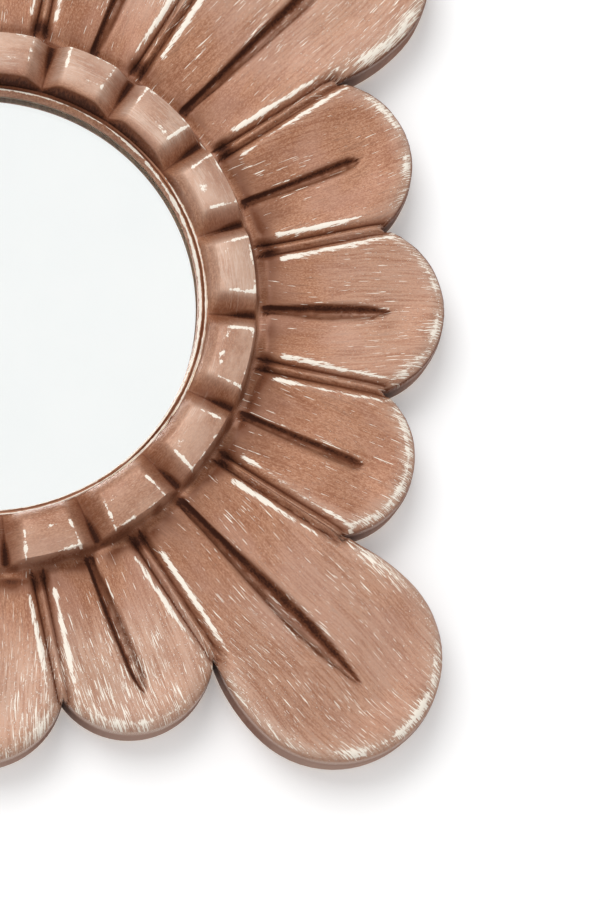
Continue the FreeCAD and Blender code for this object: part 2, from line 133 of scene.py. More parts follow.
def soft_min(first, second, softness):
    """The lower of two surfaces, rounded where they meet."""
    share = np.clip((1.0 + (second - first) / softness) / 2, 0.0, 1.0)
    return second + (first - second) * share - softness * share * (1.0 - share)


def noise_at(points, scale, seed):
    """Smooth noise from -1 to 1 at points of the carving."""
    return np.array([noise.noise(Vector((x * scale, z * scale, seed))) for x, z in points])


def on_circle(angle):
    return np.stack([np.cos(angle), np.sin(angle)], axis=-1)


def direction(degrees):
    return on_circle(np.radians(degrees))


def angle_of(step):
    return math.atan2(step[1], step[0])


def square_to(line):
    return np.stack([-line[..., 1], line[..., 0]], axis=-1)


def units(steps):
    """Steps in the same directions, each of length one."""
    return steps / np.linalg.norm(steps, axis=-1, keepdims=True)


def turned(points, degrees):
    c, s = direction(degrees)
    return points @ np.array([[c, s], [-s, c]])


def petal_axis(number):
    """The true direction of a petal in degrees."""
    quarter, place = divmod(number, SIDE_PETALS + 1)
    steps = (0.0, PETAL_PITCH, QUARTER / 2, QUARTER - PETAL_PITCH)
    return quarter * QUARTER + steps[place]


def is_corner(number):
    return number % (SIDE_PETALS + 1) == CORNER_PLACE


def cut_angle(number):
    """The direction of the cut between a petal and the next one round."""
    half = CORNER_PITCH / 2 if is_corner(number) else PETAL_PITCH / 2
    return petal_axis(number) + half + CUT_LEANS[number % len(CUT_LEANS)]


def valley_radius(number):
    beside_corner = is_corner(number) or is_corner(number + 1)
    return CORNER_VALLEY_RADIUS if beside_corner else VALLEY_RADIUS


def arc(centre, radius, start, end):
    return centre + radius * on_circle(np.linspace(start, end, OUTLINE_SAMPLES))


def round_tip(low, high):
    """A side petal's outline: one arc from valley to valley through the tip."""
    tip = np.array([PETAL_REACH, 0.0])
    sides = 2.0 * np.array([tip - low, high - low])
    squares = np.array([tip @ tip - low @ low, high @ high - low @ low])
    centre = np.linalg.solve(sides, squares)
    first = low - centre
    return arc(centre, np.linalg.norm(first), angle_of(first), angle_of(high - centre))


def long_tip(low, high):
    """A corner petal's outline: a flatter arc on each side of its round tip."""
    centre = np.array([CORNER_REACH - CORNER_TIP_RADIUS, 0.0])
    spread = CORNER_SIDE_RADIUS - CORNER_TIP_RADIUS
    halves = []
    for valley in (low * (1, -1), high):
        away = valley - centre
        span = np.linalg.norm(away)
        share = (CORNER_SIDE_RADIUS**2 - spread**2 - span**2) / (2.0 * spread * span)
        meet = angle_of(away) - math.acos(share)
        side_centre = centre - spread * on_circle(meet)
        side = arc(side_centre, CORNER_SIDE_RADIUS, angle_of(valley - side_centre), meet)
        halves.append(np.concatenate([side, arc(centre, CORNER_TIP_RADIUS, meet, 0.0)]))
    return np.concatenate([halves[0] * (1, -1), halves[1][::-1]])


def resample(points, shares):
    """Points at shares of a line's length."""
    steps = np.linalg.norm(np.diff(points, axis=0), axis=1)
    length = np.concatenate([[0.0], np.cumsum(steps)])
    wanted = shares * length[-1]
    return np.stack([np.interp(wanted, length, points[:, axis]) for axis in (0, 1)], axis=-1)


# Fineness of the carved mesh round the frame
SIDE_RAYS = 52
CORNER_RAYS = 84


class Petal:
    """One petal's outline, cuts and vein."""

    def __init__(self, number):
        self.number = number
        self.low_cut = cut_angle(number - 1)
        self.high_cut = cut_angle(number)
        self.middle = (self.low_cut + self.high_cut) / 2
        self.low_end = valley_radius(number - 1)
        self.high_end = valley_radius(number)
        corner = is_corner(number)
        half = (self.high_cut - self.low_cut) / 2
        low = self.low_end * direction(-half)
        high = self.high_end * direction(half)
        local = long_tip(low, high) if corner else round_tip(low, high)
        self.outline = turned(local, self.middle)
        self.reach = CORNER_REACH if corner else PETAL_REACH
        self.rays = CORNER_RAYS if corner else SIDE_RAYS

    def from_cut(self, points, angle, end):
        """Distance from a cut, and from the line that carries it on past its end."""
        line = direction(angle)
        along = points @ line
        aside = np.abs(points @ square_to(line))
        return np.hypot(aside, np.maximum(along - end, 0.0)), aside

    def from_rim(self, points):
        gaps = points[:, None, :] - self.outline[None, ::RIM_STEP, :]
        return np.sqrt((gaps**2).sum(axis=2).min(axis=1))

    def vein(self, points):
        """Distance from the vein's middle line, its half width, and shares of its length and half width.

        The last share is positive on the side that the light comes from, where the wall lies in shade.
        """
        vein = VEINS[self.number % len(VEINS)]
        line = direction(petal_axis(self.number) + vein.lean)
        across = square_to(line)
        aside = points @ (across * np.sign(across @ LIGHT_SIDE))
        share = (points @ line - vein.start) / (vein.end - vein.start)
        blunt = VEIN_START_WIDTH / vein.width
        rise = blunt + (1 - blunt) * smooth(VEIN_RISE_SHARE, vein.widest_share, share)
        fall = 1.0 - np.clip((share - 1.0 + vein.tip_share) / vein.tip_share, 0, 1) ** 2
        half = vein.width / 2 * rise * fall * smooth(*VEIN_START_SHARES, share) + VEIN_LEAST
        return np.abs(aside), half, share, aside / half


petals = [Petal(number) for number in range(PETALS)]

# Ring round the glass
SIGHT = 50.0
LIP_OUTER = 52.2
BEAD_OUTER = 63.4
COVE_MIDDLE = 64.4
HEEL = 67.4
BEADS = 18
FIRST_NOTCH = -85.0
# How far the carver set each notch between two beads off its true place, over half the ring
NOTCH_LEANS = (0.6, 0.3, 0.9, 1.4, 2.4, 2.8, 2.4, 2.4, 0.9)
# Sines between which the foot and the top of the ring set in
LOW_SINES = (0.1, 1.0)
TOP_SINES = (0.35, 0.95)
# The lip is narrower at the foot of the ring
LIP_NARROWS = Mark(0.9, LIP_OUTER, 2.5)
# Radii over which the beads set in and end
BEAD_FOOT = (LIP_OUTER - 0.1, LIP_OUTER + 0.3)
BEAD_BACK = (BEAD_OUTER - 0.45, BEAD_OUTER + 0.75)

# Carving of the ring, where a pair goes from the sides of the ring to its top
LIP_HEIGHT = 10.6
LIP_GROOVE = Mark(0.5, 0.62, 0.12)
LIP_EDGE_FALL = 2.3
LIP_EDGE_SHARE = 0.4
LIP_EDGE_POWER = 1.4
LIP_FOOT_FALL = 0.5
LIP_FOOT_SHARES = (0.8, 1.0)
BEAD_HEIGHT = 17.0
BEAD_SIDE_DROP = 0.9
BEAD_END_DROP = 0.4
BEAD_SOFTNESS = 1.3
BEVEL_START = (12.4, 14.6)
BEVEL_SLOPE = 2.0
NOTCH_WIDTH = 3.7
NOTCH_FLOOR = 10.2
NOTCH_FLAT = 0.2
COVE_HEIGHT = 9.5
COVE_BOTTOM = 64.8
COVE_CURVE = 0.12

# Wear of the ring: on the beads' edges and tops, and along the lip; along the inner edge of each bead's top
# it is worn paint and a painted highlight
FACET_WEAR = Mark(1.12, NOTCH_WIDTH + 0.75, 0.55)
FACET_WEAR_SHARES = (0.25, 0.45)
OUTER_WEAR = Mark(0.8, BEAD_OUTER - 0.6, 0.6)
OUTER_WEAR_START = (3.4, 4.6)
# Worn paint and a painted highlight along the inner edge of each bead's top
TOP_WEAR_AND_SHEEN = Mark(0.62, 0.42, 0.12)
TOP_WEAR_AND_SHEEN_START = (4.0, 6.0)
LIP_WEAR = (1.75, 1.3)
LIP_FOOT_WEAR = Mark((1.0, 0.0), 0.86, 0.13)
SIGHT_WEAR = Mark((1.0, 0.88), (0.25, 0.41), (0.14, 0.12))
BEAD_RUB = (1.0, 0.45)
BEAD_RUB_SHARES = (0.03, 0.3)
BEAD_RUB_START = (1.2, 0.4)
BEAD_RUB_END = (4.8, 3.0)

# Dirt and painted shade of the ring: dirt in the notches and on the lip, painted shade on the beads' ends,
# dirt at the beads' feet with painted shade that is strongest at the top, dirt in the moat with painted shade
# that grows towards the bottom, and painted shade on the ledge towards the bottom
NOTCH_DIRT = (0.55, 1.1)
NOTCH_DIRT_SHARES = (0.2, 0.7)
NOTCH_DIRT_WIDTH = (0.32, 1.07)
NOTCH_DIRT_WIDTH_SHARES = (0.25, 0.9)
# Painted shade on the beads' ends beside the notches, weaker at the top
NOTCH_SHADE = Mark((0.26, 0.11), 0.0, 2.4)
LIP_DIRT = Mark(0.6, 0.6, 0.1)
# Dirt at the beads' feet, with painted shade that makes it strongest at the top
INNER_FOOT_DIRT_AND_SHADE = Mark((0.4, 1.0), (LIP_OUTER + 0.3, LIP_OUTER), (0.35, 0.8))
# Dirt in the moat with painted shade that grows towards the bottom, and painted shade on the ledge at the
# bottom
MOAT_DIRT_AND_SHADE = Mark((0.36, 0.6), 64.2, 1.1)
LEDGE_SHADE = Mark((0.0, 0.46), 65.3, 1.7)
LEDGE_WAVES = (7, 3)
LEDGE_WAVE_SHIFT = 1.0
LEDGE_WAVE_SHARE = 0.3
LEDGE_BLOTCH_SHARE = 0.7
# Scale and seed of blotches, on the ring and on the petals
BLOTCH_GRAIN = (0.3, 1.3)


def notch_distance(radius, degrees):
    """Distance from the nearest notch between two beads."""
    nearest = np.full(len(radius), BEAD_OUTER)
    for number in range(BEADS):
        notch = FIRST_NOTCH + FULL_TURN / BEADS * number + NOTCH_LEANS[number % len(NOTCH_LEANS)]
        turn = np.mod(degrees - notch + HALF_TURN, FULL_TURN) - HALF_TURN
        aside = np.abs(np.sin(np.radians(np.clip(turn, -QUARTER, QUARTER))))
        nearest = np.minimum(nearest, radius * aside)
    return nearest


def ring_layers(radius, degrees):
    """Height, wear, rubbing, dirt, painted shade and a painted highlight of the ring round the glass, and
    where it gives way to the petals.
    """
    turns = np.radians(degrees)
    low = smooth(*LOW_SINES, -np.sin(turns))
    top = smooth(*TOP_SINES, np.sin(turns))
    from_notch = notch_distance(radius, degrees)
    half_bead = radius * math.sin(math.pi / BEADS)
    blotch = noise_at(radius[:, None] * direction(degrees), *BLOTCH_GRAIN)
    radius = radius + low * mark(LIP_NARROWS, radius)
    bead_share = (radius - LIP_OUTER) / (BEAD_OUTER - LIP_OUTER)
    lip_share = (radius - SIGHT) / (LIP_OUTER - SIGHT)
    past_lip = smooth(*BEAD_FOOT, radius)
    past_beads = smooth(*BEAD_BACK, radius)
    on_bead = past_lip * (1 - past_beads)

    # Height of the beads, the lip and the cove
    across = 2 * np.clip(bead_share, 0, 1) - 1
    to_end = 1 - from_notch / half_bead
    bead = BEAD_HEIGHT - BEAD_SIDE_DROP * across**2 - BEAD_END_DROP * to_end**2
    bevel = blend(BEVEL_START, top) + BEVEL_SLOPE * (radius - LIP_OUTER)
    bead = soft_min(bead, bevel, BEAD_SOFTNESS)
    up_facet = np.clip(from_notch - NOTCH_FLAT, 0, None) / NOTCH_WIDTH
    bead = soft_min(bead, NOTCH_FLOOR + (bead - NOTCH_FLOOR) * up_facet, BEAD_SOFTNESS)
    to_edge = np.clip(1 - lip_share / LIP_EDGE_SHARE, 0, 1)
    lip = LIP_HEIGHT - mark(LIP_GROOVE, lip_share) - LIP_EDGE_FALL * to_edge**LIP_EDGE_POWER
    lip = lip - LIP_FOOT_FALL * smooth(*LIP_FOOT_SHARES, lip_share)
    cove = COVE_HEIGHT + COVE_CURVE * (radius - COVE_BOTTOM) ** 2
    height = blend((blend((lip, bead), past_lip), cove), past_beads)

    # Wear and rubbing of the beads and the lip, with worn paint and a painted highlight along each bead's top
    facets = mark(FACET_WEAR, from_notch) * smooth(*FACET_WEAR_SHARES, bead_share)
    outer = mark(OUTER_WEAR, radius) * smooth(*OUTER_WEAR_START, from_notch)
    tops_wear_and_sheen = mark(TOP_WEAR_AND_SHEEN, bead_share) * smooth(*TOP_WEAR_AND_SHEEN_START, from_notch)
    lip = strongest(mark(SIGHT_WEAR, lip_share, top), mark(LIP_FOOT_WEAR, lip_share, top))
    lip = blend(LIP_WEAR, top) * lip * (1 - past_lip)
    edge = strongest(on_bead * strongest(facets, outer, tops_wear_and_sheen), lip)
    rubbed = smooth(blend(BEAD_RUB_START, top), blend(BEAD_RUB_END, top), from_notch)
    rub_and_painted_light = blend(BEAD_RUB, low) * on_bead * smooth(*BEAD_RUB_SHARES, bead_share) * rubbed

    # Dirt in the notches and on the lip, painted shade on the beads' ends, dirt and painted shade at the
    # beads' feet and in the moat, and painted shade on the ledge
    strength = blend(NOTCH_DIRT, smooth(*NOTCH_DIRT_SHARES, bead_share))
    width = blend(NOTCH_DIRT_WIDTH, smooth(*NOTCH_DIRT_WIDTH_SHARES, bead_share))
    notch = strongest(strength * hump(from_notch, 0.0, width), mark(NOTCH_SHADE, from_notch, top))
    lip = mark(LIP_DIRT, lip_share) * (1 - past_lip)
    fast, slow = LEDGE_WAVES
    waves = np.sin(fast * turns + LEDGE_WAVE_SHIFT) * np.sin(slow * turns)
    uneven = 1 + LEDGE_WAVE_SHARE * waves + LEDGE_BLOTCH_SHARE * blotch
    moat = uneven * strongest(mark(MOAT_DIRT_AND_SHADE, radius, low), mark(LEDGE_SHADE, radius, low))
    glaze_and_shade = strongest(on_bead * notch, lip, mark(INNER_FOOT_DIRT_AND_SHADE, radius, top), moat)
    return {"height": height, "edge": edge, "rub_and_painted_light": rub_and_painted_light, "glaze_and_shade": glaze_and_shade, "ring": 1 - past_beads}


# Carving of the petals
PETAL_HEIGHT = 13.5
HEEL_HEIGHT = 10.9
PETAL_RISE_SHARES = (-0.1, 0.72)
DISH_DEPTH = 1.5
DISH_RIM = (1.8, 12.0)
DISH_SHARES = (-0.25, 0.35)
WAVE_HEIGHT = 0.16
WAVE_RIM = (0.5, 4.0)
WAVE_SCALE = 0.09
WAVE_STRETCH = 2.2
WAVE_SEED = 7.3
CUT_GROOVE = 1.25
CUT_RIM = 2.6
CUT_DROP = 2.1
RIB_DROP = 0.7
RIB_POWER = 3
BANK_POWER = 1.3
VEIN_DEPTH = 0.3
VEIN_DEPTH_SHARE = 1.1
VEIN_POWER = 1.7
VEIN_THIN = 0.3
RIM_ROUND = 3.2
RIM_FALL = 0.85

# Wear of the petals: beside cuts and veins, on the ribs and round the rim
CUT_WEAR = Mark((1.15, 0.8), CUT_RIM + 0.35, 0.9)
CUT_WEAR_SHARES = (0.0, 0.07)
CUT_WEAR_END = (-9.0, 0.0)
VEIN_WEAR = Mark(0.75, 0.3, 0.4)
VEIN_WEAR_SHARES = (0.05, 0.25)
CREST_WEAR = Mark((0.7, 0.88), 1.9, 1.1)
CREST_TIP_SHARES = (0.8, 1.0)
CREST_CUT = (1.5, 4.0)
RIB_WIDTH = 0.8
RIB_WEAR = 0.4
RIB_RUB = 0.45
CUT_RUB = Mark(0.45, CUT_RIM + 0.6, 1.6)
CUT_RUB_SHARES = (0.02, 0.12)
BODY_RUB_SHARES = (0.05, 0.5)
TIP_RUB_START = 0.8
TIP_RUB_END = (6.0, 11.0)
TIP_RUB_RIM = (0.0, 0.7)
TIP_RUB_CUT = (2.0, 6.0)
# Painted shade that darkens the heel, weaker on the pale petals
HEEL_PAINTED_SHADE = 0.8
HEEL_PAINTED_SHADE_WAVE = 0.5
HEEL_PAINTED_SHADE_PALE = (1.0, 0.3)
HEEL_PAINTED_SHADE_REACH = 8.0

# Dirt and painted shade of the petals: dirt in cuts and veins and at their ends, a band of painted shade
# beside the cuts, painted shade on the veins' walls, dirt and painted shade at the heel, and painted shade
# along the rim
GROOVE_DIRT = Mark(1.0, CUT_GROOVE + 0.05, 0.32)
# A wider band of painted shade beside each cut
GROOVE_SHADE = Mark(0.22, CUT_GROOVE + 0.3, 0.9)
GROOVE_DEPTH = 0.62
GROOVE_HEEL_DEPTH = 0.45
GROOVE_HEEL_REACH = 5.0
# Dirt and painted shade at the heel, weaker on pale petals of the upper half
HEEL_DIRT_AND_SHADE = 0.5
HEEL_DIRT_AND_SHADE_WAVE = 0.2
HEEL_DIRT_AND_SHADE_BLOTCH = 0.4
HEEL_DIRT_AND_SHADE_PALE = (1.0, 0.25)
HEEL_DIRT_AND_SHADE_START = (-2.4, -0.8)
HEEL_DIRT_AND_SHADE_FADE = -0.6
HEEL_DIRT_AND_SHADE_REACH = 2.6
VEIN_DIRT = 0.31
VEIN_DIRT_MOTTLE = 0.24
VEIN_DIRT_HOLLOW = (0.0, 0.2)
VEIN_START_DIRT = 0.65
VEIN_START_REACH_SHARE = 0.16
# Painted shade in the vein, placed by the light's direction: on the wall in shade and a thin line along the
# lit edge
VEIN_SHADED_WALL = Mark(0.6, 0.55, 0.34)
VEIN_LIT_EDGE = Mark(0.3, -0.85, 0.16)
VEIN_HALO = Mark(0.25, 0.0, 1.3)
MOTTLE_SCALE = 0.8
MOTTLE_SEED = 5.1
# A line of painted shade along the rim, stronger on the upper petals and none at the bottom
RIM_SHADE_LINE = Mark((0.0, 0.5), 0.0, 0.4)
CUT_END_DIRT = Mark(0.95, 0.8, 2.0)
CUT_END_REACH = Mark(1.0, -1.2, 2.6)
VEIN_END_DIRT = Mark(0.9, 0.0, 1.6)
VEIN_END_REACH = Mark(1.0, 0.0, 0.05)
END_BLOTCH = 0.4

# Brush strokes follow the petals, and sway a little
SWAY = 1.6
SWAY_SCALE = 0.045
SWAY_SEED = 3.7


def petal_layers(petal, points):
    """Height, wear, rubbing, dirt and painted shade of one petal, and its places along and across the brush
    strokes.
    """
    middle = direction(petal.middle)
    along = points @ middle
    across = points @ square_to(middle)
    past_heel = along - HEEL
    share = np.clip(past_heel / (petal.reach - HEEL), 0, 1)
    low, low_line = petal.from_cut(points, petal.low_cut, petal.low_end)
    high, high_line = petal.from_cut(points, petal.high_cut, petal.high_end)
    cut = np.minimum(low, high)
    off_middle = np.abs(low_line - high_line) / (low_line + high_line)
    rim = petal.from_rim(points)
    aside, half_vein, vein_share, vein_side = petal.vein(points)
    from_vein = aside - half_vein
    has_vein = half_vein > VEIN_THIN
    hollow = np.clip(1 - aside / half_vein, 0, 1)
    on_rib = hump(cut, 0.0, RIB_WIDTH)
    pale = RUBBED_SHARES[petal.number % len(RUBBED_SHARES)]
    # 1 on the upper half, falling to 0 at the bottom; the painted shade at the heel and along the rim goes by
    # it
    open_side = min(1.0, 1.0 + middle[1])
    stretched = np.stack([along, across * WAVE_STRETCH], axis=-1)
    wave = noise_at(stretched, WAVE_SCALE, petal.number * WAVE_SEED)
    blotch = noise_at(points, *BLOTCH_GRAIN)

    # Height of the dished petal, less its cuts with the ribs in them, its vein and its rounded rim
    height = blend((HEEL_HEIGHT, PETAL_HEIGHT), smooth(*PETAL_RISE_SHARES, share))
    dish = smooth(*DISH_RIM, rim) * smooth(*DISH_SHARES, share)
    height = height - DISH_DEPTH * (1 - off_middle**2) * dish
    height = height + WAVE_HEIGHT * wave * smooth(*WAVE_RIM, rim)
    in_groove = np.clip(cut / CUT_GROOVE, 0, 1)
    rib = RIB_DROP + (CUT_DROP - RIB_DROP) * np.sin(np.pi / 2 * in_groove) ** RIB_POWER
    bank = CUT_DROP * np.clip((CUT_RIM - cut) / (CUT_RIM - CUT_GROOVE), 0, 1) ** BANK_POWER
    height = height - np.where(cut < CUT_GROOVE, rib, bank)
    depth = (VEIN_DEPTH + VEIN_DEPTH_SHARE * half_vein) * smooth(0.0, VEIN_THIN, half_vein)
    height = height - depth * (1 - (1 - hollow) ** VEIN_POWER)
    inset = np.clip(RIM_ROUND - rim, 0, RIM_ROUND)
    height = height - (RIM_ROUND - np.sqrt(RIM_ROUND**2 - inset**2)) * RIM_FALL

    # Wear beside cuts and veins, on the ribs and round the rim
    past_cuts = along - min(petal.low_end, petal.high_end)
    cuts = mark(CUT_WEAR, cut, smooth(*CUT_WEAR_END, past_cuts)) * smooth(*CUT_WEAR_SHARES, share)
    vein = mark(VEIN_WEAR, from_vein) * has_vein * smooth(*VEIN_WEAR_SHARES, vein_share)
    crest = mark(CREST_WEAR, rim, smooth(*CREST_TIP_SHARES, share)) * smooth(*CREST_CUT, cut)
    edge = strongest(cuts, vein, crest, RIB_WEAR * on_rib)

    # Rubbing of the tip, the body, the banks and the ribs, less a painted shade that darkens the heel
    tip = 1 - smooth(TIP_RUB_START, blend(TIP_RUB_END, pale), rim)
    tip = tip * smooth(*TIP_RUB_RIM, rim) * smooth(*TIP_RUB_CUT, cut)
    body = pale * smooth(*BODY_RUB_SHARES, share)
    banks = mark(CUT_RUB, cut) * smooth(*CUT_RUB_SHARES, share)
    heel_shade = (HEEL_PAINTED_SHADE + HEEL_PAINTED_SHADE_WAVE * wave) * blend(HEEL_PAINTED_SHADE_PALE, pale)
    heel_shade = heel_shade * fading(past_heel, HEEL_PAINTED_SHADE_REACH)
    rub_and_painted_light = strongest(tip, body, banks, RIB_RUB * on_rib) - heel_shade

    # Dirt and painted shade in the cuts and at the heel, dirt in and beside the vein with painted shade on
    # its walls, dirt at the ends of both, and painted shade along the rim
    deep = GROOVE_DEPTH + GROOVE_HEEL_DEPTH * np.exp(-past_heel / GROOVE_HEEL_REACH)
    groove = strongest(mark(GROOVE_DIRT, cut), mark(GROOVE_SHADE, cut)) * deep
    heel = HEEL_DIRT_AND_SHADE + HEEL_DIRT_AND_SHADE_WAVE * wave + HEEL_DIRT_AND_SHADE_BLOTCH * blotch
    heel = heel * blend(HEEL_DIRT_AND_SHADE_PALE, pale * open_side) * smooth(*HEEL_DIRT_AND_SHADE_START, past_heel)
    heel = heel * fading(past_heel - HEEL_DIRT_AND_SHADE_FADE, HEEL_DIRT_AND_SHADE_REACH)
    mottle = noise_at(points, MOTTLE_SCALE, petal.number * MOTTLE_SEED)
    vein_painted_shade = mark(VEIN_SHADED_WALL, vein_side) + mark(VEIN_LIT_EDGE, vein_side)
    start = VEIN_START_DIRT * fading(vein_share, VEIN_START_REACH_SHARE)
    inside = smooth(*VEIN_DIRT_HOLLOW, hollow) * (VEIN_DIRT + VEIN_DIRT_MOTTLE * mottle + vein_painted_shade + start)
    halo = mark(VEIN_HALO, from_vein) * has_vein
    blots = END_BLOTCH * blotch
    cut_end = patchy(CUT_END_DIRT, cut, blots) * mark(CUT_END_REACH, past_heel)
    vein_end = patchy(VEIN_END_DIRT, aside, blots) * mark(VEIN_END_REACH, vein_share)
    glaze_and_shade = strongest(groove, heel, inside, halo, cut_end, vein_end, mark(RIM_SHADE_LINE, rim, open_side))

    sway = noise_at(np.stack([along, across], axis=-1), SWAY_SCALE, petal.number * SWAY_SEED)
    strokes = np.stack([along, across + SWAY * sway], axis=-1)
    return {"height": height, "edge": edge, "rub_and_painted_light": rub_and_painted_light, "glaze_and_shade": glaze_and_shade}, strokes


# Stations of the carved mesh, from the lip out to the rim
CROWDING = 0.85
BEAD_STATIONS = 25
BEAD_STATION_ENDS = (LIP_OUTER + 0.05, BEAD_OUTER + 0.02)
LIP_RADII = (50.0, 50.3, 50.6, 50.9, 51.15, 51.4, 51.65, 51.9, 52.1)
LEDGE_RADII = (63.55, 63.75, 64.05, 64.5, 65.0, 65.5, 65.9, 66.3, 66.7, 67.05)
BODY_STATIONS = 36
BODY_CROWDING = 1.12
RIM_INSETS = (4.6, 3.4, 2.5, 1.8, 1.25, 0.8, 0.45, 0.2, 0.06, 0.0)
# Where the ring's dirt and painted shade have given way to the petals' on the ledge
GLAZE_AND_SHADE_CHANGE_END = COVE_MIDDLE + 1.4
# Strokes of the ring run round it, at this radius and on a layer of their own
RING_STROKE_RADIUS = 57.0
RING_STROKE_LAYER = 31.0


def carve_rows():
    """Rows of points from the lip out to the rim, and the petal that each ray is on."""
    ring_angles, heel_angles, ends, owners = [], [], [], []
    for petal in petals:
        even = np.arange(petal.rays) / petal.rays
        shares = even - CROWDING * np.sin(2 * math.tau * even) / (2 * math.tau)
        width = petal.high_cut - petal.low_cut
        ring_angles.append(petal.low_cut + width * even)
        heel_angles.append(petal.low_cut + width * shares)
        ends.append(resample(petal.outline, shares))
        owners.append(np.full(petal.rays, petal.number))
    ring_angles, heel_angles, ends, owners = map(np.concatenate, (ring_angles, heel_angles, ends, owners))

    rows = []
    for radius in (*LIP_RADII, *np.linspace(*BEAD_STATION_ENDS, BEAD_STATIONS), *LEDGE_RADII):
        change = smooth(BEAD_OUTER, HEEL, radius)
        rows.append(radius * direction(blend((ring_angles, heel_angles), change)))
    heels = HEEL * direction(heel_angles)
    spans = ends - heels
    lengths = np.linalg.norm(spans, axis=1, keepdims=True)
    for station in range(BODY_STATIONS):
        share = (station / BODY_STATIONS) ** BODY_CROWDING
        rows.append(heels + spans * share * (1 - RIM_INSETS[0] / lengths))
    for inset in RIM_INSETS:
        rows.append(ends - spans / lengths * inset)
    return np.array(rows), owners


def carve():
    """The carved front: rows of points, their heights, and the masks that its paint goes by."""
    rows, ray_owners = carve_rows()
    flat = rows.reshape(-1, 2)
    owners = np.tile(ray_owners, len(rows))
    radius = np.linalg.norm(flat, axis=1)
    turns = np.arctan2(flat[:, 1], flat[:, 0])
    layers = ring_layers(radius, np.degrees(turns))
    strokes = np.stack([turns * RING_STROKE_RADIUS, radius, np.full(len(flat), RING_STROKE_LAYER)], axis=-1)
    for petal in petals:
        mine = np.flatnonzero((owners == petal.number) & (radius > COVE_MIDDLE))
        own, strokes[mine, :2] = petal_layers(petal, flat[mine])
        strokes[mine, 2] = petal.number
        for name, values in own.items():
            end = GLAZE_AND_SHADE_CHANGE_END if name == "glaze_and_shade" else HEEL
            change = smooth(COVE_MIDDLE, end, radius[mine])
            layers[name][mine] = blend((layers[name][mine], values), change)
    heights = layers["height"].reshape(rows.shape[:2])
    return rows, heights, {**layers, "stroke": strokes}


# Back and outer wall of the frame
GLASS_FRONT = 7.6
BOARD_FRONT = 3.4
RABBET = 55.4
SEAT = 61.0
BACK_PROFILE = ((SEAT, 0.0), (SEAT, BOARD_FRONT), (RABBET, BOARD_FRONT),
                (RABBET, GLASS_FRONT), (SIGHT, GLASS_FRONT))
WALL_FLARE = 0.5
WALL_LEVELS = (6.5, 0.5, 0.0)
PAINTED_WALL_ROWS = 2
PAINTED_WALL_RAW = 0.6
# Dirt and painted shade on the outer wall where two petals meet
VALLEY_DIRT_AND_SHADE = 0.9
VALLEY_DIRT_AND_SHADE_REACH = 6.0
# Painted light on the outer wall where it faces down
UNDER_SHINE_SHARES = (0.6, 1.0)
FRAME_CREASE = math.radians(60)
RECESS_HALF = 7.9
RECESS_LOW = 70.6
RECESS_HIGH = 101.4
RECESS_CORNER = 3.0
RECESS_DEPTH = 3.8
RECESS_CORNER_STEPS = 8


def recess_outline():
    """The rounded outline of the hanger's recess, going round as the petals do."""
    right = RECESS_HALF - RECESS_CORNER
    high = RECESS_HIGH - RECESS_CORNER
    low = RECESS_LOW + RECESS_CORNER
    points = []
    for number, centre in enumerate(((right, high), (-right, high), (-right, low), (right, low))):
        for step in range(RECESS_CORNER_STEPS + 1):
            turn = QUARTER * (number + step / RECESS_CORNER_STEPS)
            points.append(np.array(centre) + RECESS_CORNER * direction(turn))
    return np.array(points)


def valley_dirt_and_shade(rim):
    """Dirt and painted shade on the outer wall, thick where two petals meet."""
    dirt = np.zeros(len(rim))
    for petal in petals:
        valley = petal.high_end * direction(petal.high_cut)
        distance = np.linalg.norm(rim - valley, axis=1)
        dirt = np.maximum(dirt, VALLEY_DIRT_AND_SHADE * fading(distance, VALLEY_DIRT_AND_SHADE_REACH))
    return dirt


def under_shine(rim):
    """How far the outer wall faces down, where painted light stands for the light it catches off a table."""
    ahead = np.roll(rim, -1, axis=0) - np.roll(rim, 1, axis=0)
    facing_down = ahead[:, 0] / np.linalg.norm(ahead, axis=1)
    return smooth(*UNDER_SHINE_SHARES, facing_down) * (1 - valley_dirt_and_shade(rim))


def row_faces(first, second):
    """Faces between two closed rows of points, which are given by their indices."""
    return np.stack([first, second, np.roll(second, -1), np.roll(first, -1)], axis=-1).tolist()


def cap(flat, loops):
    """Triangles that close a flat face with holes, facing away from the viewer."""
    polygons = [[Vector((flat[i][0], flat[i][1], 0.0)) for i in loop] for loop in loops]
    indices = np.concatenate(loops)
    faces = []
    for triangle in tessellate_polygon(polygons):
        a, b, c = (flat[indices[i]] for i in triangle)
        turn = (b[0] - a[0]) * (c[1] - a[1]) - (b[1] - a[1]) * (c[0] - a[0])
        order = triangle if turn < 0 else triangle[::-1]
        faces.append([int(indices[i]) for i in order])
    return faces


def add_attribute(mesh, name, values):
    kind, field = ("FLOAT", "value") if values.ndim == 1 else ("FLOAT_VECTOR", "vector")
    layer = mesh.attributes.new(name, kind, "POINT")
    layer.data.foreach_set(field, values.astype(np.float32).ravel())


def paint_masks(mesh, flat, masks, rim, front_points):
    """The masks of the front, carried on over the outer wall, as attributes of the mesh."""
    painted = front_points + PAINTED_WALL_ROWS * len(rim)
    # On the outer wall: dirt with painted shade where two petals meet, and painted light where it faces down
    on_wall = {"glaze_and_shade": valley_dirt_and_shade(rim), "rub_and_painted_light": under_shine(rim)}
    for name in ("edge", "rub_and_painted_light", "glaze_and_shade", "ring"):
        values = np.zeros(len(flat))
        values[:front_points] = masks[name]
        if name in on_wall:
            values[front_points:painted] = np.tile(on_wall[name], PAINTED_WALL_ROWS)
        add_attribute(mesh, name, values)
    stroke = np.zeros((len(flat), 3))
    stroke[:, :2] = flat
    stroke[:front_points] = masks["stroke"]
    add_attribute(mesh, "stroke", stroke)
    raw = np.zeros(len(flat))
    raw[front_points:painted] = PAINTED_WALL_RAW
    raw[painted:] = 1.0
    add_attribute(mesh, "raw", raw)


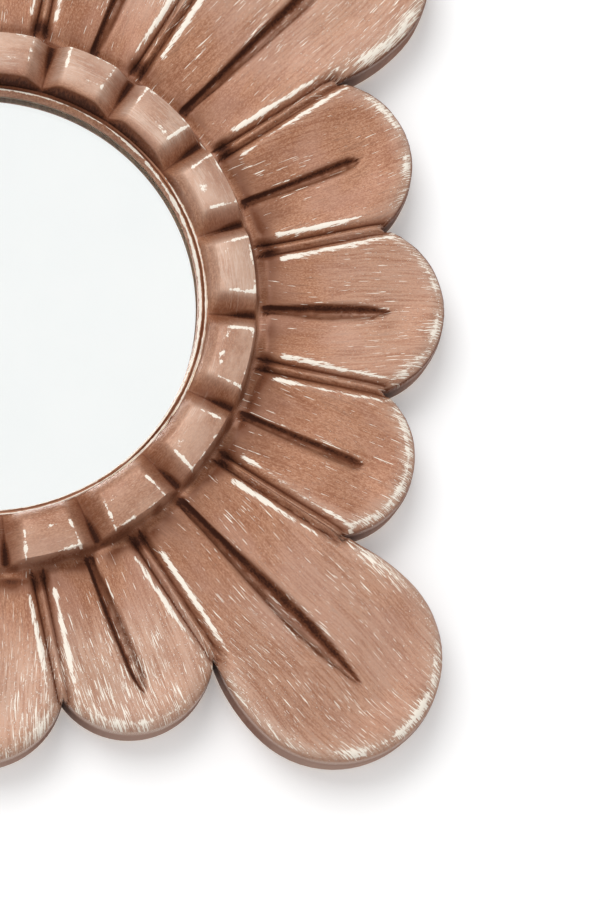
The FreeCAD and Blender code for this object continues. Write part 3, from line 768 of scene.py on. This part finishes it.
def add_object(name, data):
    thing = bpy.data.objects.new(name, data)
    bpy.context.scene.collection.objects.link(thing)
    return thing


def build_frame():
    """The carved frame as one closed skin: front, outer wall, back, board seat, rabbet and hanger recess."""
    rows, heights, masks = carve()
    front, rays = rows.shape[:2]
    rim = rows[-1]
    more = [(rim + WALL_FLARE * units(rim), level) for level in WALL_LEVELS]
    more += [(reach * units(rows[0]), level) for reach, level in BACK_PROFILE]
    recess = recess_outline()
    count = len(recess)
    flat = np.concatenate([*rows, *(row for row, _ in more), recess, recess])
    levels = [*heights, *(np.full(rays, level) for _, level in more)]
    levels += [np.zeros(count), np.full(count, RECESS_DEPTH)]
    vertices = np.stack([flat[:, 0], -np.concatenate(levels), flat[:, 1]], axis=-1) * MM

    stations = np.arange((front + len(more)) * rays).reshape(-1, rays)
    wall_end = front + len(WALL_LEVELS)
    faces = row_faces(stations[-1], stations[0])
    for part in (stations[:wall_end], stations[wall_end:]):
        for first, second in zip(part, part[1:]):
            faces += row_faces(first, second)
    opening = np.arange(count) + stations.size
    floor = opening + count
    faces += cap(flat, [stations[wall_end - 1], stations[wall_end], opening])
    faces += row_faces(opening, floor)
    faces += cap(flat, [floor])

    mesh = bpy.data.meshes.new("carved_frame_skin")
    mesh.from_pydata(vertices.tolist(), [], faces)
    mesh.update()
    mesh.shade_smooth()
    mesh.set_sharp_from_angle(angle=FRAME_CREASE)
    paint_masks(mesh, flat, masks, rim, front * rays)
    return add_object("carved_petal_frame", mesh)


# A grain of noise: how it is stretched, as one scale or one for each axis, its detail and its roughness
Grain = namedtuple("Grain", "stretch detail roughness")

# Grains of the paint, along and across the brush strokes and from one petal to the next
CLOUD = Grain((0.07, 0.12, 3.1), 7.0, 0.68)
BRUSHED = Grain((0.10, 1.7, 3.1), 5.0, 0.65)
SPECK = Grain((1.7, 3.2, 5.3), 3.0, 0.72)
HUE = Grain((0.05, 0.09, 6.1), 3.0, 0.55)
STREAK = Grain((0.15, 3.2, 7.7), 2.0, 0.5)
DASH = Grain((0.22, 4.0, 9.1), 2.0, 0.55)
RAGGED = Grain((0.32, 2.0, 4.9), 5.0, 0.72)
PATCH = Grain((0.06, 0.13, 2.3), 2.0, 0.55)
BLOT = Grain((0.28, 0.42, 1.7), 6.0, 0.72)
NOISE_MIDDLE = 0.5

# Grains of the other materials, per metre
WOOD_GRAIN = Grain((900.0, 900.0, 45.0), 4.0, 0.6)
GLASS_FILM = Grain(60.0, 3.0, 0.55)
SILVER_FILM = Grain(35.0, 3.0, 0.55)
MOTTLE = Grain(400.0, 5.0, 0.65)

# How grains and masks are mapped: where each starts and ends, and what it gives there if not 0 and 1
SPANS = {
    "tone": (0.34, 0.66),
    "lines_at_ring": (0.0, 1.0, 0.75, 0.15),
    "dark_speck": (0.5, 0.62, 0.0, 0.45),
    "light_speck": (0.5, 0.38, 0.0, 0.4),
    "grime": (0.80, 0.95, 0.0, 0.55),
    "grime_at_ring": (0.0, 1.0, 1.0, 0.3),
    "hue": (0.45, 0.68, 0.0, 0.4),
    "mist": (0.34, 0.66, 0.22, 0.72),
    "heel_shade": (0.0, -0.8, 0.0, 0.6),
    "uneven_stain_and_shade": (0.3, 0.7, 1.2, 0.8),
    "brown_stain_and_shade": (0.1, 0.6),
    "dark_stain_and_shade": (0.55, 1.0),
    "streaks": (0.825, 0.84),
    "scrapes": (0.35, 0.65, 0.04, 0.27),
    "dashes": (0.725, 0.74),
    "dots": (0.69, 0.75),
    "flecks_at_ring": (0.0, 1.0, 1.0, 0.15),
    "worn_petals": (1.03, 1.11),
    "worn_and_sheen_beads": (1.07, 1.13),
    "at_ring": (0.4, 0.6),
    "worn_in_glaze_and_shade": (0.3, 0.7, 1.0, 0.0),
    "wood": (0.3, 0.7),
    "wall": (0.35, 0.65),
    "wall_share": (0.1, 0.5),
    "wood_share": (0.7, 0.95),
    "bare": (0.05, 0.5),
    "metal": (0.1, 0.7, 0.14, 0.0),
    "brushed_rough": (0.25, 0.75, 0.36, 0.48),
    "bare_rough": (0.05, 0.5, 0.0, 0.9),
    "stain_and_shade_rough": (0.1, 0.6, 0.0, 0.85),
    "mottle": (0.3, 0.7),
    "glass_film": (0.4, 0.8, 0.0, 0.02),
    "silver_film": (0.4, 0.8, 0.01, 0.03),
}

# Colours of the carved frame
ROSE_DARK = (0.285, 0.108, 0.051)
ROSE_LIGHT = (0.446, 0.215, 0.122)
SPECK_DARK = (0.17, 0.064, 0.033)
SPECK_LIGHT = (0.56, 0.34, 0.235)
MAUVE = (0.44, 0.245, 0.18)
MIST = (0.62, 0.435, 0.34)
# Painted shade at the petals' heels
HEEL_SHADE_ROSE = (0.17, 0.068, 0.036)
# Glaze in the hollows, also used for the painted shade
GLAZE_AND_SHADE_BROWN = (0.158, 0.053, 0.024)
GLAZE_AND_SHADE_DARK = (0.046, 0.012, 0.005)
# The cream ground, also used for a painted highlight on the beads' tops
CREAM_GROUND_AND_SHEEN = (0.92, 0.84, 0.73)
WALL_DARK = (0.20, 0.085, 0.053)
WALL_LIGHT = (0.33, 0.170, 0.118)
# Painted light under the outer wall, and its dirt with painted shade between two petals
WALL_SHINE = (0.55, 0.37, 0.30)
WALL_DIRT_AND_SHADE = (0.03, 0.015, 0.011)
WOOD_DARK = (0.26, 0.135, 0.068)
WOOD_LIGHT = (0.46, 0.28, 0.155)

# How much each grain or mask counts in the paint, and the depth and strength of its relief
CLOUD_SHARE = 0.75
TONE_LIFT = 0.125
GRIME_CLOUD_SHARE = 0.5
STREAK_PATCH_SHARE = 0.25
DOT_RUB_SHARE = 0.1
EDGE_SHARE = 0.45
RAGGED_SHARE = 0.8
RAGGED_PATCH_SHARE = 0.6
BLOT_SHARE = 1.4
WALL_SHINE_SHARE = 0.6
WORN_ROUGH = 0.6
LINE_RELIEF = 1.6
SPECK_RELIEF = 0.35
WORN_RELIEF = 0.35
PAINT_RELIEF = (0.0002, 0.22)
PAINT_SPECULAR = 0.22

# Places of a mix node's colour inputs and output
MIX_FIRST = 6
MIX_SECOND = 7
MIX_RESULT = 2


class Value:
    """A node's output, with the sums that make further nodes from it."""

    def __init__(self, graph, socket):
        self.graph = graph
        self.socket = socket

    def math(self, operation, first, second):
        return self.graph.node("Math", {0: first, 1: second}, operation=operation)

    def __add__(self, other):
        return self.math("ADD", self, other)

    def __sub__(self, other):
        return self.math("SUBTRACT", self, other)

    def __rsub__(self, other):
        return self.math("SUBTRACT", other, self)

    def __mul__(self, other):
        return self.math("MULTIPLY", self, other)

    def most(self, *others):
        """The largest of this and other values."""
        largest = self
        for other in others:
            largest = self.math("MAXIMUM", largest, other)
        return largest

    def span(self, name, *ends):
        """This value mapped smoothly from one range to another, to ends of its own where these are given."""
        low, high, *usual_ends = SPANS[name]
        inputs = dict(enumerate((self, low, high, *(ends or usual_ends))))
        return self.graph.node("MapRange", inputs, interpolation_type="SMOOTHSTEP")

    def mix(self, first, second):
        """Two colours mixed by this value."""
        inputs = {"Factor": self, MIX_FIRST: first, MIX_SECOND: second}
        return self.graph.node("Mix", inputs, MIX_RESULT, data_type="RGBA")


class Graph:
    """The shader nodes of a material or a world."""

    def __init__(self, name, owners=bpy.data.materials):
        owner = owners.new(name)
        owner.use_nodes = True
        self.owner = owner
        self.nodes = owner.node_tree.nodes
        self.links = owner.node_tree.links
        self.nodes.clear()

    def fill(self, node, inputs):
        """Set a node's inputs, by their names or places, to numbers, colours or other nodes' outputs."""
        for key, value in inputs.items():
            socket = node.inputs[key]
            if isinstance(value, Value):
                self.links.new(value.socket, socket)
            elif socket.type == "RGBA":
                socket.default_value = (*value, 1.0)
            else:
                socket.default_value = value

    def node(self, kind, inputs, output=0, **settings):
        """An output of a new node that has these inputs and settings."""
        node = self.nodes.new("ShaderNode" + kind)
        for name, value in settings.items():
            setattr(node, name, value)
        self.fill(node, inputs)
        return Value(self, node.outputs[output])

    def attribute(self, name, output="Fac"):
        return self.node("Attribute", {}, output, attribute_name=name)

    def coordinates(self):
        return self.node("TexCoord", {}, "Object")

    def noise(self, vector, grain):
        stretch = grain.stretch
        if isinstance(stretch, tuple):
            vector = self.node("VectorMath", {0: vector, 1: stretch}, operation="MULTIPLY")
            stretch = 1.0
        inputs = {"Vector": vector, "Scale": stretch, "Detail": grain.detail, "Roughness": grain.roughness}
        return self.node("TexNoise", inputs, "Fac")

    def bump(self, height, distance, strength):
        return self.node("Bump", {"Strength": strength, "Distance": distance, "Height": height})

    def show(self, shader, kind="Material"):
        """What the nodes belong to, with a shader on its surface."""
        self.fill(self.nodes.new("ShaderNodeOutput" + kind), {"Surface": shader})
        return self.owner

    def finish(self, inputs):
        return self.show(self.node("BsdfPrincipled", inputs))


def worn_paint():
    """Rose-bronze paint: dark glaze in the cuts, rubbed through to a cream ground on edges and in strokes,
    with painted shade and painted light.
    """
    graph = Graph("worn_rose_bronze")
    edge, rub_and_painted_light, glaze_and_shade, ring, raw = map(graph.attribute, ("edge", "rub_and_painted_light", "glaze_and_shade", "ring", "raw"))
    stroke = graph.attribute("stroke", "Vector")
    cloud, brushed, speck, patch = (graph.noise(stroke, grain) for grain in (CLOUD, BRUSHED, SPECK, PATCH))
    lines = (brushed - NOISE_MIDDLE) * ring.span("lines_at_ring")
    bared = rub_and_painted_light.most(0.0)

    # The paint itself, mottled, brushed and misted with the ground, and darkened at the heels with painted
    # shade
    tone = cloud * CLOUD_SHARE + (lines + TONE_LIFT)
    color = tone.span("tone").mix(ROSE_DARK, ROSE_LIGHT)
    color = speck.span("dark_speck").mix(color, SPECK_DARK)
    color = speck.span("light_speck").mix(color, SPECK_LIGHT)
    grime = (brushed + cloud * GRIME_CLOUD_SHARE).span("grime") * ring.span("grime_at_ring")
    color = grime.mix(color, SPECK_DARK)
    color = graph.noise(stroke, HUE).span("hue").mix(color, MAUVE)
    mist = bared * ring.mix(brushed, cloud).span("mist")
    color = mist.mix(color, MIST)
    color = rub_and_painted_light.span("heel_shade").mix(color, HEEL_SHADE_ROSE)

    # Glaze in the cuts, with the painted shade that shares its mask
    stain_and_shade = glaze_and_shade * speck.span("uneven_stain_and_shade")
    color = stain_and_shade.span("brown_stain_and_shade").mix(color, GLAZE_AND_SHADE_BROWN)
    color = stain_and_shade.span("dark_stain_and_shade").mix(color, GLAZE_AND_SHADE_DARK)

    # Strokes that are sanded through, and edges worn raggedly on the petals and in blots on the beads,
    # with a painted highlight along each bead's top
    streaks = (graph.noise(stroke, STREAK) + patch * STREAK_PATCH_SHARE).span("streaks")
    dashes = (graph.noise(stroke, DASH) + bared * bared * patch.span("scrapes")).span("dashes")
    dots = (speck + rub_and_painted_light * DOT_RUB_SHARE).span("dots")
    flecks = streaks.most(dashes, dots) * ring.span("flecks_at_ring")
    ragged = graph.noise(stroke, RAGGED) * RAGGED_SHARE + patch * RAGGED_PATCH_SHARE
    blots = graph.noise(stroke, BLOT) * BLOT_SHARE
    edge = edge * EDGE_SHARE
    at_ring = ring.span("at_ring")
    on_petals = (edge + ragged).span("worn_petals") * (1.0 - at_ring)
    on_beads = (edge + blots).span("worn_and_sheen_beads") * at_ring
    worn_and_sheen = flecks.most(on_petals + on_beads) * glaze_and_shade.span("worn_in_glaze_and_shade")
    color = worn_and_sheen.mix(color, CREAM_GROUND_AND_SHEEN)

    # The outer wall: thin paint, lighter underneath with painted light, and dark between two petals with dirt
    # and painted shade. The back is bare wood
    wall = cloud.span("wall").mix(WALL_DARK, WALL_LIGHT)
    wall = (rub_and_painted_light * WALL_SHINE_SHARE).mix(wall, WALL_SHINE)
    wall = glaze_and_shade.mix(wall, WALL_DIRT_AND_SHADE)
    color = raw.span("wall_share").mix(color, wall)
    wood = graph.noise(graph.coordinates(), WOOD_GRAIN).span("wood").mix(WOOD_DARK, WOOD_LIGHT)
    color = raw.span("wood_share").mix(color, wood)

    # Sheen and relief
    metal = (1.0 - worn_and_sheen.most(raw.span("bare"))) * stain_and_shade.span("metal")
    dull = (worn_and_sheen * WORN_ROUGH).most(raw.span("bare_rough"), stain_and_shade.span("stain_and_shade_rough"))
    rough = brushed.span("brushed_rough").most(dull)
    relief = lines * LINE_RELIEF + speck * SPECK_RELIEF - worn_and_sheen * WORN_RELIEF
    return graph.finish({"Base Color": color, "Roughness": rough, "Metallic": metal,
                         "Specular IOR Level": PAINT_SPECULAR, "Normal": graph.bump(relief, *PAINT_RELIEF)})


def place(piece, node, slot, body="frame"):
    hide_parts(node)
    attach(piece, body)


carved = build_frame()
carved.data.materials.append(worn_paint())
place(carved, "carved_frame", "painted_wood")


PIECE_CREASE = math.radians(40)
DISC_SIDES = 160


def new_piece(name, points, faces, material):
    """An object from points in millimetres, its faces turned outwards and its round parts smooth."""
    mesh = bpy.data.meshes.new(name)
    mesh.from_pydata([(x * MM, y * MM, z * MM) for x, y, z in points], [], faces)
    shape = bmesh.new()
    shape.from_mesh(mesh)
    bmesh.ops.recalc_face_normals(shape, faces=shape.faces)
    shape.to_mesh(mesh)
    shape.free()
    mesh.shade_smooth()
    mesh.set_sharp_from_angle(angle=PIECE_CREASE)
    mesh.materials.append(material)
    return add_object(name, mesh)


def stack(rings, closed=False):
    """Points and faces of rings of points, joined one to the next, with the ends joined or else capped."""
    rows = np.arange(len(rings) * len(rings[0])).reshape(len(rings), -1)
    faces = [face for first, second in zip(rows, rows[1:]) for face in row_faces(first, second)]
    faces += row_faces(rows[-1], rows[0]) if closed else [rows[0].tolist(), rows[-1].tolist()]
    return [point for ring in rings for point in ring], faces


def join(shapes):
    """Several shapes as one."""
    points, faces = [], []
    for more_points, more_faces in shapes:
        faces += [[index + len(points) for index in face] for face in more_faces]
        points += more_points
    return points, faces


def lathe(profile, centre, sides):
    """A turned shape whose axis runs into the wall, from radii and depths."""
    circle = on_circle(math.tau * np.arange(sides) / sides)
    return stack([[(x, y, z) for x, z in np.array(centre) + reach * circle] for reach, y in profile])


def disc_piece(name, radius, ends, ease, material):
    """A round plate with eased edges, lying between two heights."""
    low, high = ends
    profile = [(radius - ease, -low), (radius, -low - ease), (radius, ease - high), (radius - ease, -high)]
    return new_piece(name, *lathe(profile, (0.0, 0.0), DISC_SIDES), material)


# Glass, and the silver behind it, which ends just past the opening
GLASS_RADIUS = 55.0
GLASS_BACK = 4.6
GLASS_EASE = 0.3
GLASS_GAP = 0.02
GLASS_TINT = (0.985, 1.0, 0.995)
GLASS_INDEX = 1.5
SILVER = 0.12
SILVER_RADIUS = 50.4
SILVER_EASE = 0.03
SILVER_DARK = (0.918, 0.929, 0.926)
SILVER_LIGHT = (0.937, 0.943, 0.938)


def glass_material():
    glass = Graph("clear_glass")
    rough = glass.noise(glass.coordinates(), GLASS_FILM).span("glass_film")
    return glass.finish({"Base Color": GLASS_TINT, "Roughness": rough,
                         "Transmission Weight": 1.0, "IOR": GLASS_INDEX})


def silver_material():
    coat = Graph("silver_coat")
    film = coat.noise(coat.coordinates(), SILVER_FILM)
    color = film.span("mottle").mix(SILVER_DARK, SILVER_LIGHT)
    return coat.finish({"Base Color": color, "Roughness": film.span("silver_film"), "Metallic": 1.0})


pane_ends = (GLASS_BACK + SILVER / 2, GLASS_FRONT - GLASS_GAP)
pane = disc_piece("glass_pane", GLASS_RADIUS, pane_ends, GLASS_EASE, glass_material())
place(pane, "mirror_glass", "silvered_glass")
pane.visible_shadow = False
silver_ends = (GLASS_BACK, GLASS_BACK + SILVER)
silver = disc_piece("silver_coat", SILVER_RADIUS, silver_ends, SILVER_EASE, silver_material())
place(silver, "mirror_glass", "silvered_glass")

# Plain materials: dark and light colour, roughness and metal
Plain = namedtuple("Plain", "dark light rough metal")
ZINC = Plain((0.42, 0.42, 0.40), (0.62, 0.61, 0.57), 0.28, 0.9)
BLUED = Plain((0.09, 0.09, 0.10), (0.20, 0.20, 0.21), 0.35, 0.85)
CARD = Plain((0.50, 0.41, 0.32), (0.66, 0.56, 0.46), 0.8, 0.0)
HARDBOARD = Plain((0.16, 0.085, 0.045), (0.34, 0.20, 0.11), 0.55, 0.0)
PLAIN_ROUGH_SPREAD = 0.15
PLAIN_RELIEF = (0.00005, 0.5)


def plain_material(name, plain):
    graph = Graph(name)
    mottle = graph.noise(graph.coordinates(), MOTTLE)
    color = mottle.span("mottle").mix(plain.dark, plain.light)
    rough = mottle.span("mottle", plain.rough, plain.rough + PLAIN_ROUGH_SPREAD)
    normal = graph.bump(mottle, *PLAIN_RELIEF)
    return graph.finish({"Base Color": color, "Roughness": rough, "Metallic": plain.metal, "Normal": normal})


def dress(node, material):
    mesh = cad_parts[node].data
    mesh.materials.clear()
    mesh.materials.append(material)


# Hanger: a wire ring whose bar turns in the curl of a strap, and the strap's screw
BAR_DEPTH = -1.95
BAR_HEIGHT = 89.2
WIRE = 0.8
WIRE_SIDES = 20
RING_HALF = 5.5
RING_SHOULDER = 84.2
RING_POINT = 79.4
RING_CORNERS = np.array([
    (RING_HALF, BAR_HEIGHT), (RING_HALF, RING_SHOULDER), (0.0, RING_POINT),
    (-RING_HALF, RING_SHOULDER), (-RING_HALF, BAR_HEIGHT),
])
RING_BEND = 1.4
BEND_STEPS = 10
STRAP_HALF = 3.8
STRAP_SHEET = 0.7
STRAP_FOOT = 72.2
STRAP_DEPTH = -3.45
STRAP_LIFT = (BAR_HEIGHT - 3.0, BAR_HEIGHT - 0.4)
STRAP_STEPS = 40
CURL_RADIUS = 1.2
CURL_END = -120.0
CURL_STEPS = 48
SCREW_PLACE = (0.0, 75.4)
SCREW_SIDES = 40
SCREW_HEAD = 2.5
SCREW_PROFILE = ((SCREW_HEAD, -2.3), (SCREW_HEAD, -3.1), (1.1, -3.1), (1.1, -6.7), (0.06, -8.1))
HALF_HEAD_PROFILE = ((SCREW_HEAD, -2.35), (SCREW_HEAD, -2.05), (2.3, -1.8), (1.9, -1.62))
HALF_HEAD_STEPS = 24
SLOT_HALF = 0.35
SLOT_TURN = 25.0

# Cut tacks that hold the board
TACKS = 6
TACK_CIRCLE = 58.2
TACK_SIDES = 28
TACK_HEAD = 1.7
TACK_PROFILE = (
    (0.5, -0.41), (1.1, -0.48), (1.5, -0.64), (TACK_HEAD, -0.86), (TACK_HEAD, -0.9),
    (0.62, -0.95), (0.6, -7.0), (0.1, -8.9),
)


def ring_route():
    """The wire ring's middle line, rounded at each bend."""
    starts = RING_CORNERS + RING_BEND * units(np.roll(RING_CORNERS, 1, axis=0) - RING_CORNERS)
    ends = RING_CORNERS + RING_BEND * units(np.roll(RING_CORNERS, -1, axis=0) - RING_CORNERS)
    route = []
    for start, corner, end in zip(starts, RING_CORNERS, ends):
        for share in np.linspace(0, 1, BEND_STEPS):
            route.append((1 - share) ** 2 * start + 2 * share * (1 - share) * corner + share**2 * end)
    return np.array(route)


def wire_ring():
    route = ring_route()
    asides = square_to(units(np.roll(route, -1, axis=0) - np.roll(route, 1, axis=0)))
    section = WIRE * on_circle(math.tau * np.arange(WIRE_SIDES) / WIRE_SIDES)
    rings = []
    for (x, z), (aside_x, aside_z) in zip(route, asides):
        rings.append([(x + out * aside_x, BAR_DEPTH + deep, z + out * aside_z) for out, deep in section])
    return stack(rings, closed=True)


def strap_shape():
    """A strip, flat under the screw, that lifts a little and curls round the ring's bar."""
    lift = BAR_DEPTH - CURL_RADIUS - STRAP_DEPTH
    rises = np.linspace(STRAP_FOOT, BAR_HEIGHT, STRAP_STEPS)
    flat = np.stack([STRAP_DEPTH + lift * smooth(*STRAP_LIFT, rises), rises], axis=-1)
    turns = np.linspace(HALF_TURN, CURL_END, CURL_STEPS)[1:]
    curl = np.array([BAR_DEPTH, BAR_HEIGHT]) + CURL_RADIUS * direction(turns)
    line = np.concatenate([flat, curl])
    asides = units(square_to(np.gradient(line, axis=0))) * STRAP_SHEET / 2
    rings = []
    for near, far in zip(line - asides, line + asides):
        rings.append([(-STRAP_HALF, *near), (STRAP_HALF, *near), (STRAP_HALF, *far), (-STRAP_HALF, *far)])
    return stack(rings)


def half_head(side):
    """One half of the screw's head, beside the slot."""
    edge = math.asin(SLOT_HALF / SCREW_HEAD)
    angles = np.linspace(edge, math.pi - edge, HALF_HEAD_STEPS)
    rings = []
    for reach, depth in HALF_HEAD_PROFILE:
        outline = reach * on_circle(angles)
        outline[:, 1] = np.maximum(SLOT_HALF, outline[:, 1])
        outline = turned(outline * side, SLOT_TURN) + np.array(SCREW_PLACE)
        rings.append([(x, depth, z) for x, z in outline])
    return stack(rings)


steel = plain_material("zinc_plate", ZINC)
blued = plain_material("blued_steel", BLUED)
place(new_piece("wire_ring", *wire_ring(), steel), "hanger_ring", "zinc_steel", "ring")
place(new_piece("curled_strap", *strap_shape(), steel), "hanger_strap", "zinc_steel")
screw = join([lathe(SCREW_PROFILE, SCREW_PLACE, SCREW_SIDES), half_head(1), half_head(-1)])
place(new_piece("slotted_screw", *screw, steel), "hanger_screw", "zinc_steel")
tack_places = [TACK_CIRCLE * direction(FULL_TURN * number / TACKS) for number in range(TACKS)]
tacks = join([lathe(TACK_PROFILE, centre, TACK_SIDES) for centre in tack_places])
place(new_piece("cut_tacks", *tacks, blued), "board_tacks", "blued_steel")
dress("packing_card", plain_material("grey_card", CARD))
dress("backing_board", plain_material("hardboard", HARDBOARD))

# Stage: a white wall that shows only from the front, and a pale floor, in metres
STAGE_HALF = 2.0
WALL_GAP = 0.0006
FLOOR_LEVEL = -0.9
WALL_GLOW = 0.12
FLOOR_GLOW = 0.42
WORLD_FILL = 0.55
CHALK = (0.95, 0.95, 0.95)
WHITE = (1.0, 1.0, 1.0)


def stage_plane(name, corners, material):
    mesh = bpy.data.meshes.new(name)
    mesh.from_pydata(corners, [], [(0, 1, 2, 3)])
    mesh.update()
    mesh.materials.append(material)
    add_object(name, mesh)


def white_material(name, strength):
    """White to the camera from the front, with the shadows that fall on it, and clear to every other ray."""
    graph = Graph(name)
    chalk = graph.node("BsdfDiffuse", {"Color": CHALK})
    glow = graph.node("Emission", {"Strength": strength})
    white = graph.node("AddShader", {0: chalk, 1: glow})
    clear = graph.node("BsdfTransparent", {})
    seen = graph.node("LightPath", {}, "Is Camera Ray")
    behind = graph.node("NewGeometry", {}, "Backfacing")
    front = graph.node("Math", {0: seen, 1: behind}, operation="SUBTRACT", use_clamp=True)
    return graph.show(graph.node("MixShader", {0: front, 1: clear, 2: white}))


square = [(x * STAGE_HALF, y * STAGE_HALF) for x, y in ((-1, -1), (1, -1), (1, 1), (-1, 1))]
stage_plane("floor", [(x, y, FLOOR_LEVEL) for x, y in square], white_material("pale_floor", FLOOR_GLOW))
stage_plane("wall", [(x, WALL_GAP, z) for x, z in square], white_material("white_wall", WALL_GLOW))


def light_world():
    """Soft light from all round, and plain white in the background and in the mirror."""
    graph = Graph("studio", bpy.data.worlds)
    fill = graph.node("Background", {"Color": WHITE, "Strength": WORLD_FILL})
    shown = graph.node("Background", {"Color": WHITE})
    rays = ("Is Camera Ray", "Is Glossy Ray", "Is Transmission Ray")
    seen, mirrored, through = (graph.node("LightPath", {}, ray) for ray in rays)
    either = seen.most(mirrored, through)
    bpy.context.scene.world = graph.show(graph.node("MixShader", {0: either, 1: fill, 2: shown}), "World")


# Lamps, in metres and watts: the key from the upper left, a fill from below and one behind the wall
Lamp = namedtuple("Lamp", "name spot target size power")
LAMPS = (
    Lamp("key", (-0.42, -1.25, 0.68), (0.03, 0.0, -0.03), 0.9, 11.8),
    Lamp("fill", (-0.2, -1.3, -0.6), (0.03, 0.0, -0.03), 1.2, 3.5),
    Lamp("back", (-0.5, 1.3, 0.8), (0.0, 0.0, 0.0), 1.2, 12.0),
)


def add_lamp(lamp):
    light = bpy.data.lights.new(lamp.name, "AREA")
    light.size = lamp.size
    light.energy = lamp.power
    rig = add_object(lamp.name, light)
    rig.location = lamp.spot
    rig.rotation_euler = (Vector(lamp.target) - Vector(lamp.spot)).to_track_quat("-Z", "Y").to_euler()


light_world()
for lamp in LAMPS:
    add_lamp(lamp)

# Camera, as the photograph was taken: turned, and moved aside in its picture plane
CAMERA_PITCH = math.radians(-12.31)
CAMERA_YAW = math.radians(6.59)
CAMERA_ROLL = math.radians(-1.15)
CAMERA_ASIDE = Vector((-74.6, 33.0, -778.0)) * MM
FOCAL_PIXELS = 3316.0
PHOTO_HEIGHT = 900.0
SENSOR = 36.0


def add_camera():
    data = bpy.data.cameras.new("photo_camera")
    data.sensor_fit = "VERTICAL"
    data.sensor_height = SENSOR
    data.lens = FOCAL_PIXELS * SENSOR / PHOTO_HEIGHT
    camera = add_object("photo_camera", data)
    turn = Matrix.Rotation(CAMERA_ROLL, 3, "Z") @ Matrix.Rotation(CAMERA_YAW, 3, "Y")
    turn = turn @ Matrix.Rotation(CAMERA_PITCH, 3, "X")
    wall_axes = Matrix(((1, 0, 0), (0, 0, 1), (0, -1, 0)))
    view = (turn @ wall_axes).transposed()
    camera.matrix_world = Matrix.Translation(-(view @ CAMERA_ASIDE)) @ view.to_4x4()
    bpy.context.scene.camera = camera


add_camera()
bpy.context.scene.view_settings.view_transform = "Standard"
